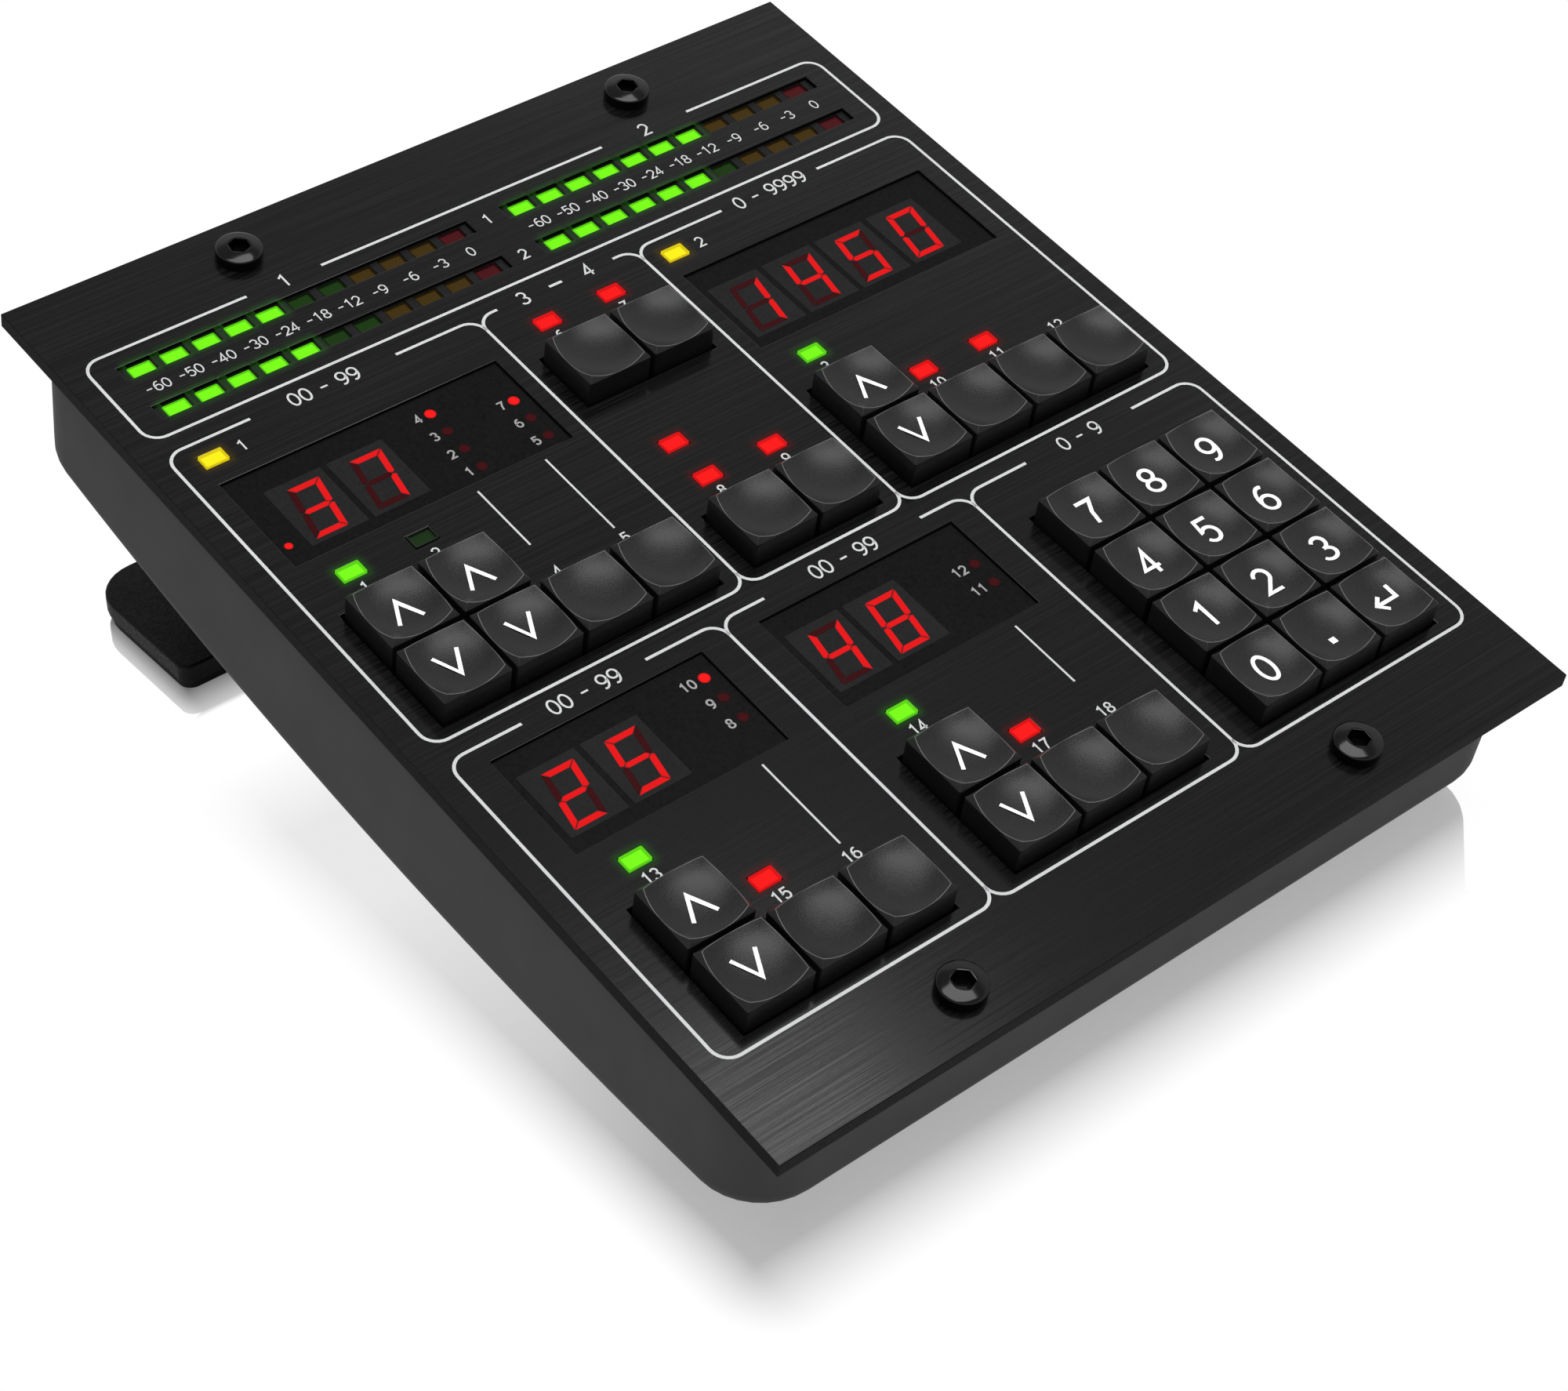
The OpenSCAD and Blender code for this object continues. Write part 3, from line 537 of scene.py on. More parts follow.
CAP_HALF = 5.2
CAP_CORNER = 0.25
CAP_WALL = 1.0
CAP_FOOT = -2.9
CAP_ROOF = 1.1
CAP_SIDE = 0.6
STEM_R = 1.55
STEM_FOOT = -6.1
SIGN_LIFT = 0.008
SKIRT_H = 3.6
LEAN = 1.15 / 1.1
DISH_Z = 2.78
DISH_BEND = 0.01754
DISH_TURN_UP = 0.000582


def dish(x, y):
    """Height of the dish, shallow in the middle and steeper to the rim."""
    away = x * x + y * y
    return DISH_Z + DISH_BEND * away + DISH_TURN_UP * away * away


def lean(x, y):
    return SKIRT_H + LEAN * (CAP_HALF - max(abs(x), abs(y)))


def rounded_turn(first, corner, last, steps):
    """Points of a soft turn from one point to another, bent towards a corner."""
    points = []
    for step in range(steps + 1):
        t = step / steps
        points.append(first * (1 - t) ** 2 + corner * 2 * t * (1 - t) + last * t * t)
    return points


def cap_profile(x, y):
    """Profile of a cap from one point of its outline straight towards its middle."""
    low = 0.3
    high = 1.0
    for _ in range(40):
        middle = (low + high) / 2
        if dish(x * middle, y * middle) < lean(x * middle, y * middle):
            low = middle
        else:
            high = middle
    reach = hypot(x, y)
    edge = Vector((reach, lean(x, y)))
    rim = Vector((reach * low, dish(x * low, y * low)))
    along = rim - edge
    soft = min(0.1, 0.45 * along.length)
    ahead = along.normalized()
    inner = low - soft / reach
    after_rim = Vector((reach * inner, dish(x * inner, y * inner)))
    profile = rounded_turn(edge - Vector((0, soft)), edge, edge + ahead * soft, 3)
    profile += rounded_turn(rim - ahead * soft, rim, after_rim, 4)
    for part in (0.86, 0.7, 0.52, 0.34, 0.16):
        profile.append(Vector((reach * inner * part, dish(x * inner * part, y * inner * part))))
    return profile


def cap_heap():
    """Hollow dished cap with a round stem."""
    width = 2 * CAP_HALF
    inner_width = width - 2 * CAP_WALL
    shape = outline(width, width, CAP_CORNER, 3, 11, 11)
    profiles = [cap_profile(x, y) for x, y in shape]
    inside = outline(inner_width, inner_width, CAP_CORNER, 3, 11, 11)
    stem = [Vector(point).normalized() * STEM_R for point in inside]
    levels = ((stem, STEM_FOOT), (stem, CAP_ROOF), (inside, CAP_ROOF), (inside, CAP_FOOT),
              (shape, CAP_FOOT), (shape, CAP_SIDE))
    rings = [[(x, y, z) for x, y in ring] for ring, z in levels]
    for level in range(len(profiles[0])):
        ring = []
        for (x, y), profile in zip(shape, profiles):
            part = profile[level].x / hypot(x, y)
            ring.append((x * part, y * part, profile[level].y))
        rings.append(ring)
    # Painted highlight of each ring: a trace on the skirt's edge, most of it on the rim
    rim_sheen = [0.0] * 6 + [0.0, 0.1, 0.1, 0.0] + [0.0, 0.8, 1.0, 0.3, 0.0] + [0.0] * 5
    return Heap().add(*loft(rings), spread=[level for level in rim_sheen for _ in shape])


def sign_heap(node):
    """White sign on the dish of a key; empty for a key without one."""
    heap = Heap()

    def lift(x, y):
        return dish(x, y) + SIGN_LIFT

    if node.endswith(("_up_key", "_down_key")):
        turn = 1 if node.endswith("_up_key") else -1
        path = [(-1.85, -2.2 * turn), (0, 1.6 * turn), (1.85, -2.2 * turn)]
        heap.add(*ribbon(path, 0.56, base=lift))
    elif node == "point_key":
        heap.add(*ribbon([(-0.5, -1.5), (0.5, -1.5)], 1.0, base=lift))
    elif node == "enter_key":
        heap.add(*ribbon([(1.9, 1.7), (1.9, -0.5), (-1.5, -0.5)], 0.6, base=lift))
        heap.add(*ribbon([(-0.4, 0.75), (-1.75, -0.5), (-0.4, -1.75)], 0.6, base=lift))
    elif node.startswith("key_"):
        figures(heap, node[-1], 4.75, 0.58, 0, 0, base=lift)
    return heap


cap_mesh = heap_mesh("dished_cap", cap_heap(), TABLE, 32)
for node, x, y in KEYS:
    place = PANEL @ Matrix.Translation((x * MM, y * MM, 0))
    cap = settle("dished_" + node, cap_mesh, cap_grey, node + "_cap", (node,))
    cap.matrix_world = place
    sign = sign_heap(node)
    if sign.points:
        make("sign_" + node, sign, sign_white, node + "_cap", place)


# Front plate with its openings, and its screws

KEY_OPENING = 5.625
PLATE_EDGE = 0.1
SCREW_HOLE_R = 2.0
SCREWS = [(x, y) for x in (-34.0, 34.0) for y in (-76.6, 76.6)]
SHANK_R = 1.88
SHANK_END = -9.9
HEAD_R = 3.34
HEAD_SIDE = 1.4
HEAD_TURN = 0.28
HEAD_DOME_R = 10
HEAD_TOP = 2.191
SOCKET_HALF = 1.35


def key_opening(across, up, tall):
    """Opening round a row of keys, of which the first few have more rows behind them."""
    left = across[0] - KEY_OPENING
    right = across[-1] + KEY_OPENING
    step = across[tall - 1] + KEY_OPENING
    low = up[0] - KEY_OPENING
    if tall == len(across):
        return [(left, low), (right, low), (right, up[-1] + KEY_OPENING), (left, up[-1] + KEY_OPENING)]
    return [(left, low), (right, low), (right, up[0] + KEY_OPENING), (step, up[0] + KEY_OPENING),
            (step, up[-1] + KEY_OPENING), (left, up[-1] + KEY_OPENING)]


def rectangle(x, y, w, d):
    return [(x - w / 2, y - d / 2), (x + w / 2, y - d / 2), (x + w / 2, y + d / 2), (x - w / 2, y + d / 2)]


def plate_mesh(loops):
    """Flat plate filled between its outline and its openings, with fine soft edges."""
    curve = bpy.data.curves.new("plate", "CURVE")
    curve.dimensions = "2D"
    curve.fill_mode = "BOTH"
    curve.extrude = PANEL_T / 2 - PLATE_EDGE
    curve.bevel_depth = PLATE_EDGE
    curve.bevel_resolution = 1
    curve.offset = -PLATE_EDGE
    for loop in loops:
        spline = curve.splines.new("POLY")
        spline.use_cyclic_u = True
        spline.points.add(len(loop) - 1)
        for point, (x, y) in zip(spline.points, loop):
            point.co = (x, y, 0, 1)
    holder = bpy.data.objects.new("plate", curve)
    mesh = bpy.data.meshes.new_from_object(holder)
    bpy.data.objects.remove(holder)
    bpy.data.curves.remove(curve)
    mesh.transform(PANEL @ Matrix.Scale(MM, 4) @ Matrix.Translation((0, 0, -PANEL_T / 2)))
    mesh.materials.clear()
    mesh.materials.append(panel_black.owner)
    mesh.materials.append(plate_edge.owner)
    face_way = PANEL.to_3x3() @ Vector((0, 0, 1))
    for face in mesh.polygons:
        face.material_index = 0 if abs(face.normal.dot(face_way)) > 0.9 else 1
    mesh.shade_flat()
    return mesh


def screw_heap():
    """Button heads with a hexagon socket, and their shanks."""
    sides = 48
    turns = [2 * pi * i / sides + radians(20) for i in range(sides)]
    hexagon = [SOCKET_HALF / cos((i % 8 - 4) * pi / 24) for i in range(sides)]
    profile = [(SHANK_R, SHANK_END), (SHANK_R, 0.01), (HEAD_R, 0.01), (HEAD_R, HEAD_SIDE)]
    for step in range(1, 5):
        turn = step * pi / 12
        profile.append((HEAD_R - HEAD_TURN * (1 - cos(turn)), HEAD_SIDE + HEAD_TURN * sin(turn)))
    for r in (3.0, 2.8, 2.5, 2.2, 1.9, 1.72):
        profile.append((r, HEAD_TOP - HEAD_DOME_R + sqrt(HEAD_DOME_R ** 2 - r * r)))
    rings = [[(r * cos(a), r * sin(a), z) for a in turns] for r, z in profile]
    # The socket's rounded rim and its floor
    for grow, z in ((0.11, 2.05), (0.05, 2.035), (0.015, 1.99), (0.0, 1.92), (0.0, 0.4)):
        rings.append([((r + grow) * cos(a), (r + grow) * sin(a), z) for r, a in zip(hexagon, turns)])
    rings.append([(0.5 * cos(a), 0.5 * sin(a), 0.38) for a in turns])
    heap = Heap()
    for x, y in SCREWS:
        heap.add(*loft(rings), at=(x, y, 0))
    return heap


YELLOW_Y = 45.05
YELLOW_OFF = 20.1
yellow_places = ((-UPPER_X - YELLOW_OFF, YELLOW_Y), (UPPER_X - YELLOW_OFF, YELLOW_Y))
green_places = ((left_columns[0], upper_rows[2]), (right_columns[0], upper_rows[2]),
                (feedback_columns[0], lower_rows[2]), (preset_columns[0], lower_rows[2]))
dark_green_places = ((left_columns[1], upper_rows[2]),)
red_places = ((pair_columns[0], PAIR_KEY_Y + KEY_PITCH), (pair_columns[1], PAIR_KEY_Y + KEY_PITCH),
              (pair_columns[0], upper_rows[1] + 2 / 3 * KEY_PITCH), (pair_columns[0], upper_rows[1]),
              (pair_columns[1], upper_rows[1]), (right_columns[1], upper_rows[1]),
              (right_columns[2], upper_rows[1]), (feedback_columns[1], lower_rows[1]),
              (preset_columns[1], lower_rows[1]))

key_groups = ((left_columns, upper_rows[:2], 2), (right_columns, upper_rows[:2], 1),
              (pair_columns, [PAIR_KEY_Y], 2), (pair_columns, upper_rows[:1], 2),
              (feedback_columns, lower_rows[:2], 1), (preset_columns, lower_rows[:2], 1),
              (pad_columns, lower_rows, 3))
light_places = yellow_places + green_places + dark_green_places + red_places
openings = [key_opening(*group) for group in key_groups]
openings += [rectangle(x, UPPER_WINDOW_Y, UPPER_WINDOW_W, WINDOW_D) for x in (-UPPER_X, UPPER_X)]
openings += [rectangle(x, LOWER_WINDOW_Y, LOWER_WINDOW_W, WINDOW_D) for x in (-LOWER_X, 0)]
openings += [rectangle(x, y, METER_W, METER_D) for x in (-METER_X, METER_X) for y in METER_ROWS]
openings += [rectangle(x, y, LIGHT_W, LIGHT_D) for x, y in light_places]
openings += [arc(x, y, SCREW_HOLE_R, SCREW_HOLE_R, 0, 345, 23) for x, y in SCREWS]
settle("front_plate", plate_mesh([rectangle(0, 0, PLATE_W, PLATE_D)] + openings), panel_black,
       stands_for=("front_panel",))
make("button_screws", screw_heap(), screw_black, stands_for=("panel_screws",))


# Tray with a curved underside

BELLY_R = 507.28
BELLY_AXIS = 479.98
EDGE_R = 4.2
WALL = 2.2
TRAY_TOP = -PANEL_T - 0.02
INNER_W = 124.6
INNER_D = 151.0
INNER_CORNER = 5.5


def tray_shape(offset):
    """Outline of the tray's inner block, moved out by an offset; clockwise."""
    shape = outline(INNER_W + 2 * offset, INNER_D + 2 * offset, INNER_CORNER + offset, 8, 10, 24)
    return shape[::-1]


def belly(y, r):
    return BELLY_AXIS - sqrt(r * r - y * y)


def tray_heap():
    core = tray_shape(0)
    normals = [Vector((b[0] - a[0], b[1] - a[1], 0)) for a, b in zip(core, tray_shape(1))]
    cavity = tray_shape(EDGE_R - WALL)
    outside = tray_shape(EDGE_R)
    core_r = BELLY_R - EDGE_R
    rings = []
    for part in (0.05, 0.3, 0.55, 0.8, 1.0):
        rings.append([(x * part, y * part, belly(y * part, BELLY_R - WALL)) for x, y in cavity])
    rings.append([(x, y, TRAY_TOP) for x, y in cavity])
    rings.append([(x, y, TRAY_TOP) for x, y in outside])
    for step in range(9):
        ring = []
        for (x, y), normal in zip(core, normals):
            start = Vector((x, y, belly(y, core_r)))
            down = Vector((0, y, start.z - BELLY_AXIS)).normalized()
            whole = acos(normal.dot(down))
            part = step / 8 * whole
            way = (normal * sin(whole - part) + down * sin(part)) / sin(whole)
            ring.append(tuple(start + way * EDGE_R))
        rings.append(ring)
    last = rings[-1]
    for part in (0.8, 0.55, 0.3, 0.05):
        rings.append([(x * part, y * part, belly(y * part, BELLY_R)) for x, y, _ in last])
    return Heap().add(*loft(rings))


tray = make("tray", tray_heap(), tray_grey, stands_for=("body_shell",))

# The data socket's opening, cut through the rear wall from outside to inside
SOCKET_W = 9.1
SOCKET_H = 3.4
SOCKET_Z = -12.2
SOCKET_CORNER = 0.3
CUT_FROM = 82.0
CUT_TO = 74.0
opening = outline(SOCKET_W, SOCKET_H, SOCKET_CORNER, 3)
cut_rings = [[(x, y, z + SOCKET_Z) for x, z in opening] for y in (CUT_FROM, CUT_TO)]
cutter_points, cutter_faces = loft(cut_rings)
cutter_mesh = bpy.data.meshes.new("socket_opening")
cutter_mesh.from_pydata([[c * MM for c in point] for point in cutter_points], [], cutter_faces)
cutter = bpy.data.objects.new("socket_opening", cutter_mesh)
bpy.context.scene.collection.objects.link(cutter)
cutter_mesh.transform(PANEL)
cut = tray.modifiers.new("socket_opening", "BOOLEAN")
cut.object = cutter
cut.solver = "EXACT"
bpy.context.view_layer.update()
cut_mesh = bpy.data.meshes.new_from_object(tray.evaluated_get(bpy.context.evaluated_depsgraph_get()))
tray.modifiers.remove(cut)
tray.data = cut_mesh
bpy.data.objects.remove(cutter)

# The front foot and the rear stand, in the table's frame, with the axis of the tray's underside
AXIS_Y = -88.51
AXIS_Z = 510.29
SINK = 1.0
PAD_T = 1.5
FRONT_FOOT_Y = -57.075
FOOT_CORNER = 3.5
STAND_Y = 69.075
STAND_TOP = 4.4
STAND_CORNERS = (7.0, 2.0)
NECK_Y = 67.075
NECK_HALF = 53
WAIST_HALF = 45


def underside(y):
    """Height above the table, a little way into the tray's floor."""
    return AXIS_Z - sqrt((BELLY_R - SINK) ** 2 - (y - AXIS_Y) ** 2)


def foot_heap(w, d):
    """Front foot: a block with a soft lower edge, up to the tray."""
    rings = slab_rings(w, d, FOOT_CORNER, PAD_T, PAD_T + 2, 0.5, 0.0)[:6]
    rings = [[(x, y + FRONT_FOOT_Y, z) for x, y, z in ring] for ring in rings]
    rings.append([(x, y, underside(y)) for x, y, _ in rings[-1]])
    return Heap().add(*loft(rings))


def plate_heap(w, d, y, low, high, low_r, high_r, rear_corner, front_corner):
    """Flat plate or pad with its middle at y."""
    rings = slab_rings(w, d, rear_corner, low, high, low_r, high_r, 5, 8, front_corner)
    return Heap().add(*loft(rings), at=(0, y, 0))


def neck_heap():
    """Waisted neck between the foot plate and the tray."""
    base = 4.1
    waist_z = 14.52
    waist_r = 10.4
    shape = outline(2 * NECK_HALF, 20, 3.0, 6, 8, 4)
    rings = []
    for step in range(15):
        ring = []
        for x, y in shape:
            z = base + (underside(y + NECK_Y) - base) * step / 14
            off = min(abs(z - waist_z), 0.97 * waist_r)
            half = min(WAIST_HALF + waist_r - sqrt(waist_r ** 2 - off ** 2), NECK_HALF)
            ring.append((x * half / NECK_HALF, y + NECK_Y, z))
        rings.append(ring)
    return Heap().add(*loft(rings))


make("front_foot", foot_heap(116, 22), tray_grey, place=TABLE)
make("stand_plate", plate_heap(122.4, 26, STAND_Y, PAD_T, STAND_TOP, 0.3, 0.45, *STAND_CORNERS),
     stand_black, place=TABLE, stands_for=("rear_stand",))
make("stand_neck", neck_heap(), stand_black, place=TABLE)
make("rear_pad", plate_heap(121.6, 25.2, STAND_Y, 0, PAD_T, 0.2, 0.02, *STAND_CORNERS), pad_rubber,
     place=TABLE, stands_for=("rear_foot_pad",))
make("front_pad", plate_heap(115.2, 21.2, FRONT_FOOT_Y, 0, PAD_T, 0.2, 0.02, FOOT_CORNER, FOOT_CORNER),
     pad_rubber, place=TABLE, stands_for=("front_foot_pad",))


# Level meters and indicators

green_spills = Heap()
meter_greens = Heap()
meter_dim_greens = Heap()
meter_dim_ambers = Heap()
meter_dim_reds = Heap()
# A light's width and depth, and the heights of its foot, rim and core
METER_LENS = (3.58, 2.18, -1.6, -0.55, -0.75)
INDICATOR_LENS = (3.58, 2.38, -2.4, 0.2, -0.3)
FIRST_AMBER = 7
# Lit lights of each meter, by its side and its row
METERS_LIT = {(-1, 0): 5, (-1, 1): 5, (1, 0): 7, (1, 1): 6}
for (side, row), lit in METERS_LIT.items():
    for i, x in enumerate(spaced(side * METER_X, METER_LIGHTS, METER_STEP)):
        place = (x, METER_ROWS[row], 0)
        target = meter_dim_greens
        if i < lit:
            target = meter_greens
            green_spills.add(*spill(LIGHT_W, METER_D), at=place)
        elif i == METER_LIGHTS - 1:
            target = meter_dim_reds
        elif i >= FIRST_AMBER:
            target = meter_dim_ambers
        target.add(*lens(*METER_LENS), at=place)
make("meter_lenses_lit", meter_greens, meter_green_lit,
     stands_for=("meter_green_lights",))
make("meter_lenses_green", meter_dim_greens, meter_green_unlit)
make("meter_lenses_amber", meter_dim_ambers, meter_amber_unlit,
     stands_for=("meter_amber_lights",))
make("meter_lenses_red", meter_dim_reds, meter_red_unlit,
     stands_for=("meter_red_lights",))


def indicator_heap(places, spills=None):
    """Indicator lights, and the glow of lit ones."""
    heap = Heap()
    for x, y in places:
        heap.add(*lens(*INDICATOR_LENS), at=(x, y, 0))
        if spills:
            spills.add(*spill(LIGHT_W, LIGHT_D), at=(x, y, 0))
    return heap


red_spills = Heap()
yellow_spills = Heap()
make("indicators_yellow", indicator_heap(yellow_places, yellow_spills), indicator_yellow_lit,
     stands_for=("yellow_indicators",))
make("indicators_green", indicator_heap(green_places, green_spills), indicator_green_lit,
     stands_for=("green_indicators",))
make("indicator_green_off", indicator_heap(dark_green_places), indicator_green_unlit)
make("indicators_red", indicator_heap(red_places, red_spills), indicator_red_lit,
     stands_for=("red_indicators",))
make("green_glow", green_spills, spill_green)
make("red_glow", red_spills, spill_red)
make("yellow_glow", yellow_spills, spill_yellow)


# Number displays

SEGMENT_W = 0.92
DIGIT_H = 9.36
DIGIT_W = 5.0
SLANT = 0.18
CELL_FACE = WINDOW_FACE + 0.04
LIT_SEGMENTS = {"0": "abcdef", "1": "bc", "2": "abged", "3": "abgcd", "4": "fgbc", "5": "afgcd",
                "6": "afgedc", "7": "abc", "8": "abcdefg", "9": "abcdfg"}


def segment_shapes():
    """Outlines of the seven bars of an upright digit about its middle."""
    w = DIGIT_W / 2
    h = DIGIT_H / 2
    t = SEGMENT_W
    gap = 0.1
    half = t / 2
    upper_bar = [(-w + gap, h), (w - gap, h), (w - t - gap, h - t), (-w + t + gap, h - t)]
    middle_bar = [(-w + half + gap, 0), (-w + t + gap * 0.6, half * 0.9), (w - t - gap * 0.6, half * 0.9),
                  (w - half - gap, 0), (w - t - gap * 0.6, -half * 0.9), (-w + t + gap * 0.6, -half * 0.9)]
    upper_right = [(w, h - gap), (w, half * 0.6), (w - half, gap), (w - t, half + gap * 0.6),
                   (w - t, h - t - gap)]

    def flip_x(shape):
        return [(-x, y) for x, y in shape][::-1]

    def flip_y(shape):
        return [(x, -y) for x, y in shape][::-1]

    return {"a": upper_bar, "d": flip_y(upper_bar), "g": middle_bar, "b": upper_right,
            "c": flip_y(upper_right), "f": flip_x(upper_right), "e": flip_x(flip_y(upper_right))}


def flat_bar(shape, x, y, low, high):
    """Thin leaning bar of a digit, its face a little smaller than its foot."""
    leaned = [(px + SLANT * py, py) for px, py in shape]
    area = sum(a[0] * b[1] - b[0] * a[1] for a, b in zip(leaned, leaned[1:] + leaned[:1]))
    if area < 0:
        leaned = leaned[::-1]
    mid_x = sum(px for px, _ in leaned) / len(leaned)
    mid_y = sum(py for _, py in leaned) / len(leaned)
    rings = []
    for shrink, z in ((1.0, low), (1.0, high), (0.82, high)):
        rings.append([(x + mid_x + (px - mid_x) * shrink, y + mid_y + (py - mid_y) * shrink, z)
                      for px, py in leaned])
    return *loft(rings), [0.2] * (2 * len(leaned)) + [1.0] * len(leaned)


def disc(r, low, high):
    """Round lamp with a soft edge."""
    rings = []
    spread = []
    for part, z, level in ((1.0, low, 0.0), (1.0, high, 0.0), (0.75, high, 0.7), (0.35, high, 1.0)):
        rings.append([(r * part * cos(i * pi / 14), r * part * sin(i * pi / 14), z) for i in range(28)])
        spread += [level] * 28
    return *loft(rings), spread


lit_bars = Heap()
dim_bars = Heap()
cells = Heap()
lit_lamps = Heap()
dim_lamps = Heap()
SHAPES = segment_shapes()
DIGIT_STEP = 9.8
CELL_W = 8.9
CELL_D = 11.5
POINT_R = 0.42
LAMP_R = 0.82
SMALL_LAMP_R = 0.58
LAMP_HEIGHTS = (WINDOW_FACE - 0.1, WINDOW_FACE + 0.03)
LAMP_STEP = 3.93
LAMP_INSET = 2.3
FIRST_LAMP = -6.5
half_upper = UPPER_WINDOW_W / 2
half_lower = LOWER_WINDOW_W / 2
# Each display: its number, the middle of its first digit, and the middle of its digits in y
DISPLAYS = (
    ("37", -UPPER_X - half_upper + 8.55, UPPER_WINDOW_Y - 1.2),
    ("1450", UPPER_X - half_upper + 5.7, UPPER_WINDOW_Y - 1.2),
    ("25", -LOWER_X - half_lower + 5.7, LOWER_WINDOW_Y - 0.85),
    ("48", -half_lower + 5.7, LOWER_WINDOW_Y - 0.85),
)
for number, first_x, y in DISPLAYS:
    for i, figure in enumerate(number):
        x = first_x + i * DIGIT_STEP
        cell = slab_rings(CELL_W, CELL_D, 0.15, WINDOW_FACE - 0.2, CELL_FACE, 0.02, 0.04, 2, 2)
        cells.add(*loft(cell), at=(x, y + 0.3, 0))
        point = disc(POINT_R, CELL_FACE - 0.03, CELL_FACE + 0.012)
        cells.add(*point, at=(x + 2.9, y - DIGIT_H / 2 + 0.45, 0))
        for bar, shape in SHAPES.items():
            target = lit_bars if bar in LIT_SEGMENTS[figure] else dim_bars
            target.add(*flat_bar(shape, x, y, CELL_FACE - 0.03, CELL_FACE + 0.02))

# Every round lamp: its place, and whether it is lit
lamp_rows = [UPPER_WINDOW_Y + FIRST_LAMP + i * LAMP_STEP for i in range(4)]
low_lamp_rows = [LOWER_WINDOW_Y + FIRST_LAMP + i * LAMP_STEP for i in range(4)]
lamp_x = -UPPER_X + half_upper - LAMP_INSET
LAMPS = [(lamp_x - 11, y, i == 3) for i, y in enumerate(lamp_rows)]
LAMPS += [(lamp_x, y, i == 2) for i, y in enumerate(lamp_rows[:3])]
LAMPS += [(-LOWER_X + half_lower - LAMP_INSET, y, i == 2) for i, y in enumerate(low_lamp_rows[1:])]
LAMPS += [(half_lower - LAMP_INSET, y, False) for y in low_lamp_rows[1:3]]
for x, y, lit in LAMPS:
    target = lit_lamps if lit else dim_lamps
    target.add(*disc(LAMP_R, *LAMP_HEIGHTS), at=(x, y, 0))
lit_lamps.add(*disc(SMALL_LAMP_R, *LAMP_HEIGHTS), at=(-59.23, UPPER_WINDOW_Y - 4.95, 0))
make("digit_cells", cells, cell_grey)
make("digit_bars_lit", lit_bars, segment_lit)
make("digit_bars_unlit", dim_bars, segment_unlit)
make("round_lamps_lit", lit_lamps, lamp_lit)
make("round_lamps_unlit", dim_lamps, lamp_unlit)


# Printed lines and figures

LINE_W = 0.45
THIN_LINE_W = 0.3
FRAME_X = 64.05
CORNER = 2.6
# Height and line width of the printed figures
TITLE_TYPE = (2.6, 0.3)
SCALE_TYPE = (1.9, 0.21)
MARK_TYPE = (2.1, 0.26)
KEY_TYPE = (1.9, 0.26)
LAMP_TYPE = (1.7, 0.27)
panel_print = Heap()
dim_print = Heap()


def corner_turn(middle_x, middle_y, start, steps=7):
    """Quarter circle of a printed frame, from a start angle in degrees, turning left."""
    return arc(middle_x, middle_y, CORNER, CORNER, start, start + 90, steps)


def frame_lines(left, right, low, high, titles, shared=""):
    """Printed frame with figures in gaps of its upper line; a shared side is left to its neighbour."""
    bounds = []
    for words, x, width in titles:
        figures(panel_print, words, *TITLE_TYPE, x, high)
        bounds += [(x - width / 2, high), (x + width / 2, high)]
    right_top = corner_turn(right - CORNER, high - CORNER, 0)
    left_top = corner_turn(left + CORNER, high - CORNER, 90)
    left_low = corner_turn(left + CORNER, low + CORNER, 180)
    right_low = corner_turn(right - CORNER, low + CORNER, 270)
    start = [bounds[0]] + left_top
    end = right_top + [bounds[-1]]
    if shared == "right":
        paths = [end, start + left_low + right_low]
    elif shared == "left":
        paths = [start, left_low + right_low + end]
    else:
        paths = [start + left_low + right_low + end]
    paths += [bounds[i:i + 2] for i in range(1, len(bounds) - 1, 2)]
    for path in paths:
        panel_print.add(*ribbon(path, LINE_W))


SPLIT_UPPER = (-13.75, 13.85)
SPLIT_LOWER = (-21.25, 21.4)
METER_FRAME = (51.8, 69.1)
UPPER_FRAME = (-11.4, 48.7)
LOWER_FRAME = (-69.05, -14.4)
# The last values of a frame: its figures with their middle and the width of their gap, and its shared side
frame_lines(-FRAME_X, FRAME_X, *METER_FRAME, (("1", -METER_X, 12.3), ("2", METER_X, 15.8)))
frame_lines(-FRAME_X, SPLIT_UPPER[0], *UPPER_FRAME, (("00 - 99", -38.9, 23.5),), "right")
frame_lines(*SPLIT_UPPER, *UPPER_FRAME, (("3", -5.6, 9.0), ("4", 5.6, 9.0)))
frame_lines(SPLIT_UPPER[1], FRAME_X, *UPPER_FRAME, (("0 - 9999", 38.9, 18.0),), "left")
frame_lines(-FRAME_X, SPLIT_LOWER[0], *LOWER_FRAME, (("00 - 99", -LOWER_X, 19.5),), "right")
frame_lines(*SPLIT_LOWER, *LOWER_FRAME, (("00 - 99", 0, 27.0),))
frame_lines(SPLIT_LOWER[1], FRAME_X, *LOWER_FRAME, (("0 - 9", LOWER_X, 20.0),), "left")
# Lines from lamps to keys: place across, lower end and upper end
LAMP_LINES = ((-33.2, 9.8, 21.4), (-22.1, 6.3, 21.4), (-31.6, -51.4, -36.25), (11.1, -47.8, -36.25))
for x, low, high in LAMP_LINES:
    panel_print.add(*ribbon([(x, high), (x, low)], THIN_LINE_W))

